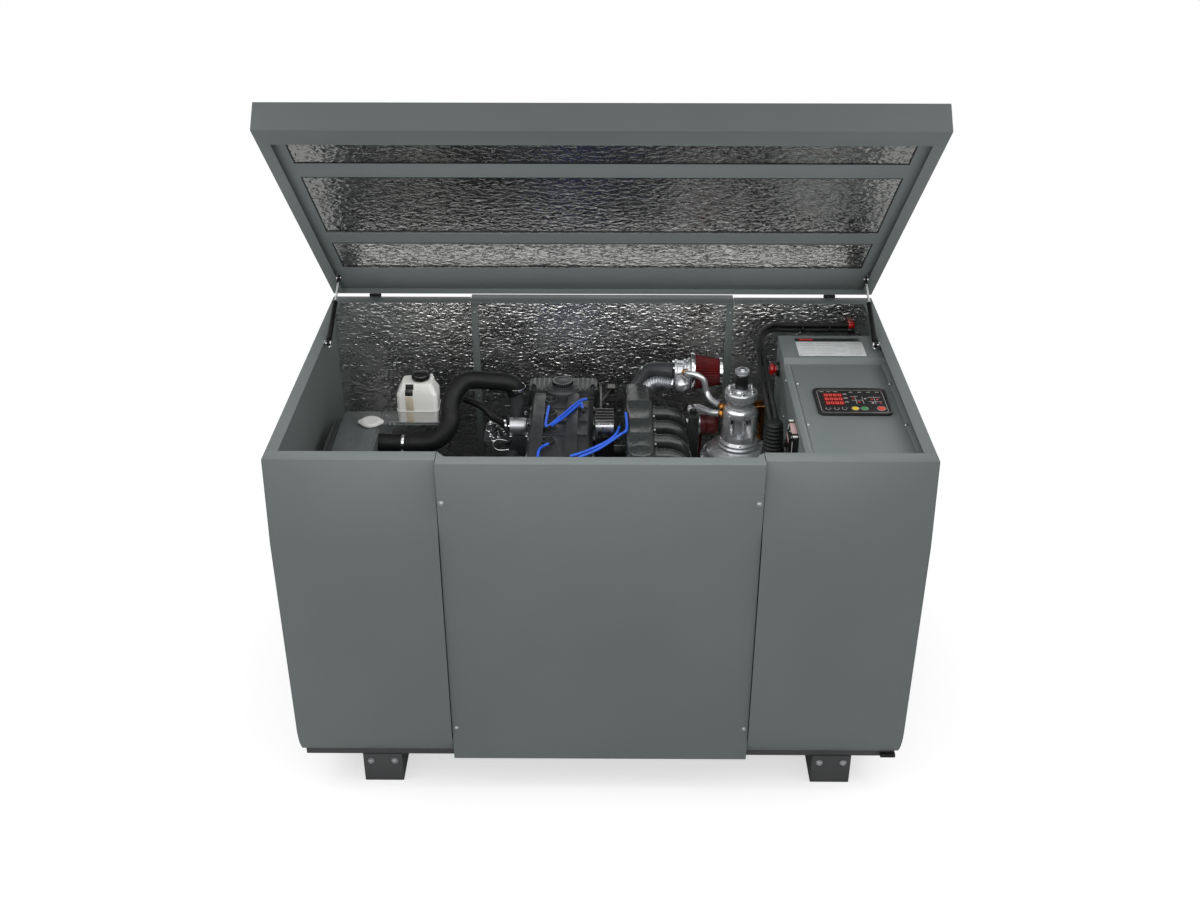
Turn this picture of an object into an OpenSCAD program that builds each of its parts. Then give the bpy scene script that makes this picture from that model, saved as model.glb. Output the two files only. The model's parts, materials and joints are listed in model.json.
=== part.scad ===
// Gas generator set: a sheet-metal housing whose lid stands open on two gas struts, with the gas
// engine, its cooling, intake and gas train, the alternator and the control cabinet inside.
// Millimetres. +X runs along the housing to the control cabinet, +Y towards the hinges, +Z up.
// The origin lies on the floor, under the middle of the whole set with its lid open.

/* [Housing] */
// Length over the end walls
body_w = 2000; // [1900:10:2200]
// Depth between the front and rear creases of the rim
body_d = 1214; // [1180:2:1300]
// Height of the bent panels below the rim
body_h = 1125; // [1100:5:1250]
// Thickness of the steel sheets
sheet_t = 2; // [1.5:0.5:3]
// How far the bent panels bulge out beyond the rim
bulge = 31; // [20:1:36]
// Height over which they lean out below the rim
lean_h = 280; // [200:10:360]
// Height over which they curve back in above the base
tuck_h = 115; // [80:5:160]
// How far their lower edge tucks in behind the rim's crease
tuck_in = 8; // [2:1:12]
// Width of the rim flange along the front
front_flange = 52; // [40:2:60]
// Width of the rim flange along the rear
rear_flange = 58; // [44:2:64]
// Width of the rim flange along the ends
side_flange = 38; // [36:1:40]

/* [Middle panels] */
// Width of the middle panels
mid_w = 974; // [900:2:1100]
// How far the middle panels stand proud of the rim's crease
mid_proud = 23; // [20:1:36]
// How far they reach below the bent panels
mid_drop = 14; // [6:1:22]
// Reveal between a middle panel and its neighbours
panel_gap = 2; // [1:0.5:4]
// How much narrower the middle panels' rim flange is than their neighbours'
mid_narrow = 30; // [20:2:34]
// Size of the gussets at its ends
gusset = 24; // [16:2:30]

/* [Base] */
// Height of the two transverse feet
foot_h = 117; // [100:1:140]
// Width of a foot
foot_w = 132; // [110:2:150]
// Distance of the left foot's middle from the housing's middle
left_foot_x = 735; // [650:5:850]
// Distance of the right foot's middle from the housing's middle
right_foot_x = 781; // [650:1:850]
// Height of the base rails
rail_h = 80; // [60:5:100]
// Width of the base rails' flanges
rail_w = 45; // [40:5:70]
// Wall of the base rails
rail_t = 6; // [5:0.5:8]
// How far the base rails show below the bent panels
rail_show = 30; // [24:1:40]

/* [Lid] */
// Height of the lid's sides
lid_h = 90; // [80:1:100]
// How far the lid reaches out beyond the front crease
lid_over = 20; // [10:1:28]
// Gap between the closed lid and the rim
lid_gap = 6; // [6:1:10]
// Angle at which the lid stands open
lid_open = 45; // [40:1:50]
// Width of the lip along the lid's ends
lid_side_lip = 38; // [34:1:38]
// Width of the lip along the lid's front
lid_front_lip = 86; // [60:2:100]
// Depth of the inner frame above the lip
lid_frame_depth = 20; // [16:1:30]
// Width of the inner frame's cross strips
lid_strip_w = 90; // [70:2:120]
// Width of the inner frame along the ends
lid_side_strip = 72; // [60:2:90]
// Width of the inner frame along the hinged side
lid_rear_strip = 192; // [150:2:220]
// Distance of the first cross strip's middle from the hinged side
strip_1 = 447; // [400:1:500]
// Distance of the second cross strip's middle from the hinged side
strip_2 = 947; // [880:1:990]

/* [Gas struts] */
// Distance of a strut's lower pivot from the rear crease
strut_low_back = 397; // [385:1:410]
// Depth of a strut's lower pivot below the rim
strut_low_drop = 6; // [5:0.5:8]
// Distance of a strut's upper pivot from the lid's hinged edge
strut_up_reach = 165; // [155:1:175]
// How far the upper pivot lies outside the lid's lip
strut_up_out = 6; // [4:0.5:7]
// Radius of a strut's cylinder
strut_r = 9; // [8:0.5:9]
// Length of a strut's cylinder from its pivot
strut_cyl_len = 190; // [180:2:196]
// Radius of a strut's rod
rod_r = 4; // [3:0.5:5]
// Length of a strut's rod from its pivot
rod_len = 134; // [126:1:150]
// Radius of a strut's eyes
eye_r = 8; // [7:0.5:9]
// Width of a strut's eyes
eye_w = 11; // [9:0.5:12]

/* [Engine] */
// Distance of the crankshaft from the control cabinet
engine_off = 766; // [740:1:790]
// Gap between the rear lining and the valve cover
engine_rear_gap = 126; // [100:2:160]
// Height of the valve cover's top above the floor plate
engine_h = 813; // [760:2:840]
// Length of the valve cover
cover_len = 640; // [600:5:660]
// Width of the valve cover
cover_w = 240; // [220:2:250]
// Height of the valve cover
cover_h = 78; // [60:2:90]
// Pitch of the cylinders
bore_pitch = 100; // [90:1:106]
// Width of the cylinder block
block_w = 250; // [230:2:280]
// Radius of the alternator's frame
alternator_r = 175; // [150:5:190]
// Length of the alternator
alternator_len = 340; // [300:5:350]

/* [Intake] */
// Distance of the plenum's middle from the crankshaft line
plenum_off = 273; // [260:1:290]
// Width of the intake plenum
plenum_w = 94; // [84:2:100]
// Height of the plenum's top above the valve cover's top
plenum_rise = 50; // [30:2:60]
// Length of the intake plenum
plenum_len = 533; // [500:1:560]
// Radius of an intake runner
runner_r = 26; // [20:1:28]
// Radius of a runner's bends
runner_bend = 62; // [56:2:80]
// Radius of the air filter at its clamp
filter_r = 68; // [56:1:72]
// Length of the air filter
filter_len = 116; // [100:2:130]

/* [Gas train] */
// Distance of the gas valve from the control cabinet
valve_off = 139; // [139:1:150]
// Distance of the gas valve from the rear lining
valve_back = 438; // [420:1:460]
// Radius of the gas valve's flange
valve_flange_r = 57; // [50:1:62]
// Radius of the gas valve's solenoid
solenoid_r = 21; // [18:1:25]
// Radius of the regulator's diaphragm casing
regulator_r = 134; // [110:2:136]
// Height of the regulator's top above the floor plate
regulator_h = 723; // [700:1:740]

/* [Cooling] */
// Length of the air duct between the end wall and the radiator
duct_len = 69; // [60:1:80]
// Distance of the radiator from the rear lining
rad_back = 318; // [300:2:340]
// Width of the radiator's top tank
tank_w = 143; // [130:1:150]
// Height of the radiator above the floor plate
radiator_h = 774; // [720:2:790]
// Length of the radiator
radiator_len = 640; // [560:5:700]
// Radius of the coolant hose
hose_r = 29; // [25:1:31]
// Width of the expansion tank
tank_box_w = 143; // [120:1:150]
// Height of the expansion tank
tank_box_h = 158; // [140:2:180]

/* [Control cabinet] */
// Width of the control cabinet from the end wall
cabinet_w = 373; // [350:1:390]
// Depth of the control cabinet from front to back
cabinet_d = 912; // [880:2:920]
// Height of the control cabinet
cabinet_h = 500; // [420:5:540]
// Depth of its rear deck below the rim
deck_drop = 24; // [22:1:34]
// Step from the rear deck down to the control panel
panel_step = 16; // [10:1:22]
// Length of the control panel from the cabinet's front
panel_len = 716; // [680:2:730]
// Width of the controller's bezel
controller_w = 240; // [200:2:250]
// Length of the controller's bezel
controller_l = 181; // [150:1:190]

/* [Hidden] */
$fn = 48;

paint = "#6e7675";
dark = "#3a3d3e";
black = "#1b1c1d";
alloy = "#b9bcbe";
foil = "#8c8d8b";
seat = 0.3;             // running gap between a piece and what it seats on
pin_gap = 0.05;         // radial gap of a pin in its bore
clear = 5;              // gap kept between moving pieces

// Levels and faces that the pieces share
base_z = foot_h;                                   // underside of the rails
floor_z = base_z + rail_h;                         // underside of the floor plate
deck_z = floor_z + sheet_t;                        // top of the floor plate
rim_z = base_z + rail_show + body_h;               // top of the rim
half_w = body_w / 2;
front_y = -body_d / 2;
rear_y = body_d / 2;
rail_y = tuck_in + 8;                              // rails' outer face behind the crease
inner_x = half_w - sheet_t;                        // inner face of an end wall
cab_x = inner_x - cabinet_w;                       // left side of the control cabinet
engine_x = cab_x - engine_off;                     // crankshaft
lining_t = 20;                                     // thickness of the foil-faced insulation

// Hinge: its axis lies just behind the rear crease, in the gap below the lid
hinge_r = 6;
hinge_pin_r = 3;
hinge_len = 42;
hinge_x = 845;
hinge_back = hinge_r + 0.5;
hinge_rise = 2.7;
hinge_y = rear_y + hinge_back;
hinge_z = rim_z + hinge_rise;

// Place of a point on the open lid, from its closed place
function opened(y, z) = let (dy = y - hinge_y, dz = z - hinge_z)
    [hinge_y + dy * cos(lid_open) + dz * sin(lid_open),
     hinge_z - dy * sin(lid_open) + dz * cos(lid_open)];

// The origin's place: midway between the front bulge and the open lid's rearmost corner
reach_back = opened(rear_y, rim_z + lid_gap + lid_h).x;
origin_shift = -(reach_back - bulge + front_y) / 2;

module placed() { translate([0, origin_shift, 0]) children(); }
module on_lid() {
    translate([0, hinge_y, hinge_z]) rotate([-lid_open, 0, 0])
        translate([0, -hinge_y, -hinge_z]) children();
}

// ---------- Helpers ----------

function unit(v) = v / norm(v);
function reversed(v) = [for (i = [len(v) - 1 : -1 : 0]) v[i]];
function inward(a, b) = let (d = unit(b - a)) [-d.y, d.x];
function inset(path, t) = [for (i = [0 : len(path) - 1])
    let (n1 = inward(path[max(i - 1, 0)], path[max(i, 1)]),
         n2 = i < len(path) - 1 ? inward(path[i], path[i + 1]) : n1)
    path[i] + (n1 + n2) * t / (1 + n1 * n2)];

// A sheet bent along a path of [y, z] points and running along X
module bent_sheet(path, x0, x1, t = sheet_t) {
    along_x(x0, x1) polygon(concat(path, reversed(inset(path, t))));
}
module along_x(x0, x1) { translate([x0, 0, 0]) rotate([90, 0, 90]) linear_extrude(x1 - x0) children(); }
module block(lo, hi) { translate(lo) cube(hi - lo); }
module mirrored_x() { children(); mirror([1, 0, 0]) children(); }
module rod_x(p, r, len) { translate(p) rotate([0, 90, 0]) cylinder(r = r, h = len); }
module rod_y(p, r, len) { translate(p) rotate([-90, 0, 0]) cylinder(r = r, h = len); }
module rod_z(p, r, len) { translate(p) cylinder(r = r, h = len); }
module turned(profile) { rotate_extrude() polygon(profile); }
module turned_x(p, profile) { translate(p) rotate([0, 90, 0]) turned(profile); }
module turned_y(p, profile) { translate(p) rotate([-90, 0, 0]) turned(profile); }
// Profile of a drum with chamfered rims
function drum(r, h, c) = [[0, 0], [r - c, 0], [r, c], [r, h - c], [r - c, h], [0, h]];
module slab(lo, hi, r) { translate(lo) linear_extrude(hi.z - lo.z) rounded(hi.x - lo.x, hi.y - lo.y, r); }
module rounded(w, d, r) { // a rectangle from the origin with round corners
    translate([r, 0]) square([w - 2 * r, d]);
    translate([0, r]) square([w, d - 2 * r]);
    for (x = [r, w - r], y = [r, d - r]) translate([x, y]) circle(r);
}

// A round tube swept through points, on a curve that passes through each of them
function curve(p, n = 4) = [for (i = [0 : len(p) - 2], k = [0 : n - 1])
        bow(p[max(i - 1, 0)], p[i], p[i + 1], p[min(i + 2, len(p) - 1)], k / n), p[len(p) - 1]];
function bow(a, b, c, d, t) = 0.5 * (2 * b + (c - a) * t + (2 * a - 5 * b + 4 * c - d) * t * t
    + (3 * b - a - 3 * c + d) * t * t * t);
// Its ends are cut square to the directions given, if any
function heading(p, i, from, to) = i == 0 && !is_undef(from) ? from
    : i == len(p) - 1 && !is_undef(to) ? to : unit(p[min(i + 1, len(p) - 1)] - p[max(i - 1, 0)]);
function across(t) = unit(cross(t, abs(t.z) < 0.8 ? [0, 0, 1] : [1, 0, 0]));
function frames(p, from, to, i = 0, u = undef) = i == len(p) ? [] :
    let (t = heading(p, i, from, to), s = is_undef(u) ? across(t) : unit(u - (u * t) * t))
    concat([[p[i], s, cross(t, s)]], frames(p, from, to, i + 1, s));
module tube(p, r, sides = 10, from = undef, to = undef) {
    n = len(p);
    rings = [for (f = frames(p, from, to), k = [0 : sides - 1])
        f[0] + r * (cos(360 * k / sides) * f[1] + sin(360 * k / sides) * f[2])];
    walls = [for (i = [0 : n - 2], k = [0 : sides - 1]) let (j = (k + 1) % sides)
        [i * sides + k, (i + 1) * sides + k, (i + 1) * sides + j, i * sides + j]];
    polyhedron(rings, concat([[for (k = [0 : sides - 1]) k]],
        [[for (k = [sides - 1 : -1 : 0]) (n - 1) * sides + k]], walls));
}

// ---------- Housing ----------

// Outline of a bent panel from the flange's inner edge down to the rails, [y, z] from the crease
tuck_dy = bulge + tuck_in;
tuck_r = (tuck_dy * tuck_dy + tuck_h * tuck_h) / (2 * tuck_dy);
tuck_a = asin(tuck_h / tuck_r);
tuck_steps = 5;
function skin() = concat(
    [[0, 0], [-bulge, -lean_h]],
    [for (i = [0 : tuck_steps]) let (a = tuck_a * i / tuck_steps)
        [-bulge + tuck_r * (1 - cos(a)), -body_h + tuck_h - tuck_r * sin(a)]]);
function panel_path(flange) = concat([[flange, 0]], skin(), [[rail_y, -body_h]]);

module front_frame() { translate([0, front_y, rim_z]) children(); }
module rear_frame() { translate([0, rear_y, rim_z]) mirror([0, 1, 0]) children(); }

module side_panel(side, flange) {
    x_in = mid_w / 2 + panel_gap;
    x0 = side < 0 ? -inner_x : x_in;
    bent_sheet(panel_path(flange), x0, x0 + inner_x - x_in);
}

// A middle panel: a flat pan that closes over the edges of its neighbours
module mid_panel(flange, narrow) {
    pan_d = mid_proud + 5;
    path = [[flange - narrow, 0], [-mid_proud, 0], [-mid_proud, -body_h - mid_drop],
            [rail_y, -body_h - mid_drop]];
    difference() {
        union() {
            bent_sheet(path, -mid_w / 2, mid_w / 2);
            mirrored_x() block([mid_w / 2 - sheet_t, -mid_proud, -body_h - mid_drop],
                               [mid_w / 2, pan_d - mid_proud, 0]);
            mirrored_x() translate([0, 0, -sheet_t]) linear_extrude(sheet_t)
                polygon([[mid_w / 2, flange], [mid_w / 2, flange - narrow - 2],
                         [mid_w / 2 - gusset - 2, flange - narrow - 2]]);
        }
        mirrored_x() block([mid_w / 2 - sheet_t - 1, rail_y, -body_h - mid_drop - 1],
                           [mid_w / 2 + 1, pan_d, -body_h - rail_show + rail_h + sheet_t + seat]);
    }
}

module front_left_panel() { color(paint) front_frame() side_panel(-1, front_flange); }
module front_right_panel() { color(paint) front_frame() side_panel(1, front_flange); }
module front_mid_panel() { color(paint) front_frame() mid_panel(front_flange, mid_narrow); }
module rear_left_panel() { color(paint) rear_frame() side_panel(-1, rear_flange); }
module rear_right_panel() { color(paint) rear_frame() side_panel(1, rear_flange); }
module rear_mid_panel() { color(paint) rear_frame() mid_panel(rear_flange, 0); }

// Openings for the air in the end walls: the warm air leaves on the left, beside the radiator, and
// the fresh air enters on the right, below the control cabinet
grille_w = 620;
left_grille_h = 540;
grille_z = deck_z + 120;
right_grille_h = rim_z - deck_drop - cabinet_h - grille_z - 49;
module end_outline() {
    half = concat([[0, 0]], skin(), [[rail_y, -body_h]]);
    front = [for (p = half) [p.x + front_y, p.y + rim_z]];
    rear = [for (p = reversed(half)) [rear_y - p.x, p.y + rim_z]];
    polygon(concat([for (i = [1 : len(front) - 1]) front[i]],
        [for (i = [0 : len(rear) - 2]) rear[i]]));
}
module end_wall(grille_h) {
    difference() {
        along_x(inner_x, half_w) end_outline();
        block([inner_x - 1, -grille_w / 2, grille_z], [half_w + 1, grille_w / 2, grille_z + grille_h]);
    }
    block([half_w - side_flange, front_y + front_flange, rim_z - sheet_t],
          [inner_x + 0.01, rear_y - rear_flange, rim_z]);
}
module left_end_wall() { color(paint) mirror([1, 0, 0]) end_wall(left_grille_h); }
module right_end_wall() { color(paint) end_wall(right_grille_h); }

// Weather louvres: a flanged frame with sloping blades behind the opening
blade_pitch = 60;
blade_t = 3;
grille_lap = 22;
grille_deep = 34;
module grille(grille_h) {
    n = floor(grille_h / blade_pitch);
    pitch = grille_h / n;
    face = inner_x - seat;
    difference() {
        block([face - sheet_t, -grille_w / 2 - grille_lap, grille_z - grille_lap],
              [face, grille_w / 2 + grille_lap, grille_z + grille_h + grille_lap]);
        block([face - sheet_t - 1, -grille_w / 2, grille_z], [face + 1, grille_w / 2, grille_z + grille_h]);
    }
    for (s = [-1, 1]) block([face - grille_deep, s * (grille_w + sheet_t) / 2 - sheet_t / 2, grille_z],
        [face, s * (grille_w + sheet_t) / 2 + sheet_t / 2, grille_z + grille_h]);
    for (i = [0 : n - 1]) translate([0, 0, grille_z + pitch * (i + 0.5)])
        rotate([90, 0, 0]) translate([0, 0, -grille_w / 2 - 1]) linear_extrude(grille_w + 2)
            polygon([[face, -pitch / 2 + 4], [face, -pitch / 2 + 4 + blade_t],
                     [face - grille_deep, pitch / 2 - 4 + blade_t], [face - grille_deep, pitch / 2 - 4]]);
}
module air_grilles() {
    color(dark) {
        mirror([1, 0, 0]) grille(left_grille_h);
        grille(right_grille_h);
    }
}

// ---------- Base ----------

// A channel lying along X with its web towards -Y
function channel(w, h, t) = [[0, 0], [w, 0], [w, t], [t, t], [t, h - t], [w, h - t], [w, h], [0, h]];
rail_end = inner_x - 8;
// Cross members stand between the rails: at both ends, over the feet and under the engine
cross_w = 60;
cross_x = [-rail_end + cross_w / 2, -left_foot_x, engine_x - 160, engine_x + 160, right_foot_x,
           rail_end - cross_w / 2];
module base_frame() {
    len = body_d / 2 - rail_y - rail_t / 2;
    color(dark) {
        for (s = [0, 1]) mirror([0, s, 0]) translate([0, front_y + rail_y, base_z])
            along_x(-rail_end, rail_end) polygon(channel(rail_w, rail_h, rail_t));
        for (x = cross_x) difference() {
            block([x - cross_w / 2, -len, base_z], [x + cross_w / 2, len, floor_z]);
            block([x - cross_w / 2 + rail_t, -len - 1, base_z + rail_t],
                  [x + cross_w / 2 - rail_t, len + 1, floor_z - rail_t]);
        }
    }
}
module floor_plate() {
    y = front_y + rail_y;
    color(dark) block([-rail_end, y, floor_z], [rail_end, -y, deck_z]);
}
module foot(x) {
    y = front_y + rail_y - 4;
    block([x - foot_w / 2, y, 0], [x + foot_w / 2, -y, base_z]);
}
module feet() {
    color(dark) {
        foot(-left_foot_x);
        foot(right_foot_x);
    }
}

// ---------- Rear lining ----------

strip_x = 475;
strip_w = 24;
strip_t = 3;
lining_back = 6;
lining_y = rear_y - lining_t - lining_back;
module rear_lining() {
    z0 = deck_z + seat;
    z1 = rim_z - sheet_t - seat;
    color(foil) block([-inner_x + seat, lining_y, z0], [inner_x - seat, rear_y - lining_back, z1]);
    color(paint) for (x = [-strip_x, strip_x])
        block([x - strip_w / 2, lining_y - strip_t, z0], [x + strip_w / 2, lining_y, z1]);
}

// ---------- Lid ----------

lid_front = front_y - lid_over;
lid_z = rim_z + lid_gap;
lid_top = lid_z + lid_h;
lid_in = half_w - sheet_t;
module lid_shell() {
    color(paint) on_lid() {
        difference() {
            block([-half_w, lid_front, lid_z], [half_w, rear_y, lid_top]);
            block([-lid_in, lid_front + sheet_t, lid_z + sheet_t],
                  [lid_in, rear_y - sheet_t, lid_top - sheet_t]);
            block([-half_w + lid_side_lip, lid_front + lid_front_lip, lid_z - 1],
                  [half_w - lid_side_lip, rear_y - sheet_t, lid_z + sheet_t + 1]);
        }
    }
}
// Strips that hold the insulation: round the edge and twice across
module lid_frame() {
    z0 = lid_z + lid_frame_depth;
    y1 = rear_y - sheet_t;
    y0 = lid_front + sheet_t;
    bars = [lid_rear_strip - lid_strip_w / 2, strip_1, strip_2, y1 - y0 - lid_front_lip + lid_strip_w / 2];
    color(paint) on_lid() difference() {
        block([-lid_in, y0, z0], [lid_in, y1, z0 + sheet_t]);
        for (i = [0 : 2])
            block([-half_w + lid_side_strip, y1 - bars[i + 1] + lid_strip_w / 2, z0 - 1],
                  [half_w - lid_side_strip, y1 - bars[i] - lid_strip_w / 2, z0 + sheet_t + 1]);
    }
}
module lid_insulation() {
    z0 = lid_z + lid_frame_depth + sheet_t + seat;
    color(foil) on_lid() block([-lid_in + seat, lid_front + sheet_t + seat, z0],
        [lid_in - seat, rear_y - sheet_t - seat, z0 + lining_t]);
}

// ---------- Hinges ----------

knuckle = hinge_len / 3;
leaf_t = 3;
leaf_h = 42;
slope = atan(bulge / lean_h);
module housing_hinges() {
    color(black) for (x = [-hinge_x, hinge_x]) {
        for (k = [-1, 1])
            rod_x([x + k * knuckle - knuckle / 2 + seat, hinge_y, hinge_z], hinge_r, knuckle - 2 * seat);
        rod_x([x - hinge_len / 2 - 1, hinge_y, hinge_z], hinge_pin_r, hinge_len + 2);
        for (k = [-1, 1]) translate([x + k * knuckle - knuckle / 2 + seat, rear_y, rim_z]) rotate([slope, 0, 0])
            block([0, 0, -leaf_h], [knuckle - 2 * seat, leaf_t, leaf_t]);
    }
}
module lid_hinges() {
    color(black) on_lid() for (x = [-hinge_x, hinge_x]) difference() {
        union() {
            rod_x([x - knuckle / 2 + seat, hinge_y, hinge_z], hinge_r, knuckle - 2 * seat);
            block([x - knuckle / 2 + seat, rear_y, hinge_z],
                  [x + knuckle / 2 - seat, rear_y + leaf_t, lid_z + leaf_h]);
        }
        rod_x([x - knuckle / 2, hinge_y, hinge_z], hinge_pin_r + pin_gap, knuckle);
    }
}

// ---------- Gas struts ----------

stud_t = 3;
strut_x = half_w - side_flange - clear - strut_r;       // middle of a strut
eye_out = strut_x + eye_w / 2;                           // outer face of its eyes
low_y = rear_y - strut_low_back;
low_z = rim_z - strut_low_drop;
up_closed = [rear_y - strut_up_reach, lid_z - strut_up_out];
up_open = opened(up_closed.x, up_closed.y);
strut_open = norm([up_open.x - low_y, up_open.y - low_z]);
strut_a = atan2(up_open.y - low_z, up_open.x - low_y);
low_plate_x = half_w - side_flange - stud_t;
module on_strut(side) {
    translate([side * strut_x, low_y, low_z]) rotate([strut_a, 0, 0]) children();
}
module strut_cylinder(side) {
    neck = eye_r + 8;
    color(black) on_strut(side) difference() {
        union() {
            rod_x([-eye_w / 2, 0, 0], eye_r, eye_w);
            rod_y([0, 0, 0], 5.4, neck + 2);
            rod_y([0, neck, 0], strut_r, strut_cyl_len - neck);
        }
        rod_x([-eye_w / 2 - 1, 0, 0], 4 + pin_gap, eye_w + 2);
        rod_y([0, neck + 12, 0], rod_r + seat, strut_cyl_len);
    }
}
module strut_rod(side) {
    color(alloy) on_strut(side) difference() {
        union() {
            rod_y([0, strut_open - rod_len, 0], rod_r, rod_len - 4);
            rod_y([0, strut_open - eye_r - 10, 0], 5, 10);
            rod_x([-eye_w / 2, strut_open, 0], eye_r, eye_w);
        }
        rod_x([-eye_w / 2 - 1, strut_open, 0], 4 + pin_gap, eye_w + 2);
    }
}
module left_strut_cylinder() { strut_cylinder(-1); }
module right_strut_cylinder() { strut_cylinder(1); }
module left_strut_rod() { strut_rod(-1); }
module right_strut_rod() { strut_rod(1); }
// Studs on the housing: a plate on the rim flange's edge with the pin that the lower eye turns on
module housing_studs() {
    color(alloy) mirrored_x() {
        block([low_plate_x, low_y - 10, low_z - 14], [low_plate_x + stud_t, low_y + 10, rim_z + 1]);
        rod_x([strut_x - eye_w / 2 - 2, low_y, low_z], 4, low_plate_x - strut_x + eye_w / 2 + 3);
    }
}
// Studs on the lid: a plate from the inner frame down to the upper eye, which it stops just short of
module lid_studs() {
    up_x = eye_out + seat;
    color(alloy) on_lid() mirrored_x()
        translate([0, up_closed.x, up_closed.y]) {
            rod_x([up_x, 0, 0], eye_r, stud_t);
            block([up_x, -eye_r, 0], [up_x + stud_t, eye_r, strut_up_out + lid_frame_depth]);
        }
}

// ---------- Engine ----------

cover_top = deck_z + engine_h;
cover_z = cover_top - cover_h;
cover_y1 = lining_y - strip_t - engine_rear_gap;
cover_y0 = cover_y1 - cover_len;
head_h = 120;
head_w = 222;
block_z = deck_z + 210;                                 // joint of the block and the sump
crank_z = block_z + 60;
head_side = engine_x + head_w / 2;                      // face that the runners bolt to
block_y0 = cover_y0 + 20;
block_y1 = cover_y1 - 50;
outlet = [engine_x - 166, cover_y1 - 175, cover_z + 108]; // top of the coolant outlet
sump_h = 160;
rib_t = 8;
exhaust_r = 27;
exhaust_x = engine_x - head_w / 2 - 64;
exhaust_z = cover_z - 72;
bore_y = [for (i = [0 : 3]) cover_y1 - cover_len / 2 + 12 + (1.5 - i) * bore_pitch];
// Half outline of the block and its sump, from the engine's middle, [x, z] from their joint
block_half = [[0.30 * block_w, -sump_h], [0.38 * block_w, 30 - sump_h], [0.42 * block_w, -24],
    [0.50 * block_w, -24], [0.50 * block_w, 116], [0.39 * block_w, 150],
    [0.39 * block_w, cover_z - head_h - block_z + 1]];
function both_sides(p) = concat(p, [for (q = reversed(p)) [-q.x, q.y]]);

module engine_block() {
    color(dark) translate([engine_x, 0, 0]) {
        // block and sump, with ribs between the cylinders
        translate([0, block_y1, block_z]) rotate([90, 0, 0]) linear_extrude(block_y1 - block_y0)
            polygon(both_sides(block_half));
        for (i = [0 : 4], s = [-1, 1]) translate([0, bore_y[0] + (0.5 - i) * bore_pitch, 0])
            block([s < 0 ? -0.46 * block_w : 0.3 * block_w, -rib_t / 2, block_z + 100],
                  [s < 0 ? -0.3 * block_w : 0.46 * block_w, rib_t / 2, cover_z - head_h - 12]);
        // head
        block([-head_w / 2, block_y0, cover_z - head_h], [head_w / 2, block_y1 + 20, cover_z - seat]);
        // bell housing towards the alternator, timing case and belt pulley at the rear
        turned_y([0, block_y0 - 40, crank_z], drum(alternator_r + 12, 14, 3));
        turned_y([0, block_y0 - 27, crank_z], [[0, 0], [alternator_r - 4, 0], [0.44 * block_w, 40], [0, 40]]);
        block([-105, block_y1 - 1, block_z], [105, block_y1 + 36, cover_z - seat]);
        turned_y([0, block_y1 + 30, crank_z], pulley(82, 34, 4));
        turned_y([-34, block_y1 + 30, crank_z + 190], pulley(58, 30, 3));
    }
    color(dark) {
        coolant_outlet();
        exhaust_manifold();
        engine_feet();
    }
}
// Profile of a belt pulley with a number of grooves
function pulley(r, w, n) = concat([[0, 0], [r, 0], [r, 3]],
    [for (i = [0 : n - 1], q = [[r - 6, 0.5], [r, 1]]) [q.x, 3 + (w - 6) * (i + q.y) / n]], [[r, w], [0, w]]);
module coolant_outlet() {
    low = cover_z - 40;
    translate([outlet.x, outlet.y, low]) turned([[0, 0], [26, 0], [26, 26], [36, 30], [36, 44], [26, 48],
        [26, outlet.z - low], [0, outlet.z - low]]);
    turned_x([outlet.x - 21, outlet.y - 80, cover_z + 13],
             [[0, 0], [12, 0], [12, 8], [28, 10], [28, 52], [25, 60], [0, 60]]);
    block([outlet.x - 26, outlet.y - 110, cover_z - 100],
          [engine_x - head_w / 2 + 1, outlet.y + 30, cover_z - 14]);
}
// Four stubs into a log that runs to the front and turns down
module exhaust_manifold() {
    reach = engine_x - head_w / 2 - exhaust_x + 1;
    low = block_z + 40;
    y0 = block_y0 + 26;
    for (y = bore_y) if (y < outlet.y - 130) {
        rod_x([exhaust_x, y, exhaust_z], 19, reach);
        block([exhaust_x + reach - 12, y - 30, exhaust_z - 26], [exhaust_x + reach, y + 30, exhaust_z + 26]);
    }
    rod_y([exhaust_x, y0, exhaust_z], exhaust_r, outlet.y - 150 - y0);
    rod_z([exhaust_x, y0 + exhaust_r, low], exhaust_r, exhaust_z - low);
    translate([exhaust_x, y0 + exhaust_r, low - 12]) turned(drum(exhaust_r + 17, 14, 2));
}
module engine_feet() {
    for (s = [-1, 1], y = [block_y0 + 60, block_y1 - 130]) translate([engine_x + s * block_w / 2, y, 0]) {
        block([-28, 0, deck_z], [28, 60, deck_z + 10]);
        rod_z([0, 30, deck_z], 24, block_z - deck_z + 10);
        block([-34, -6, block_z - 4], [34, 66, block_z + 16]);
    }
}
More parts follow.
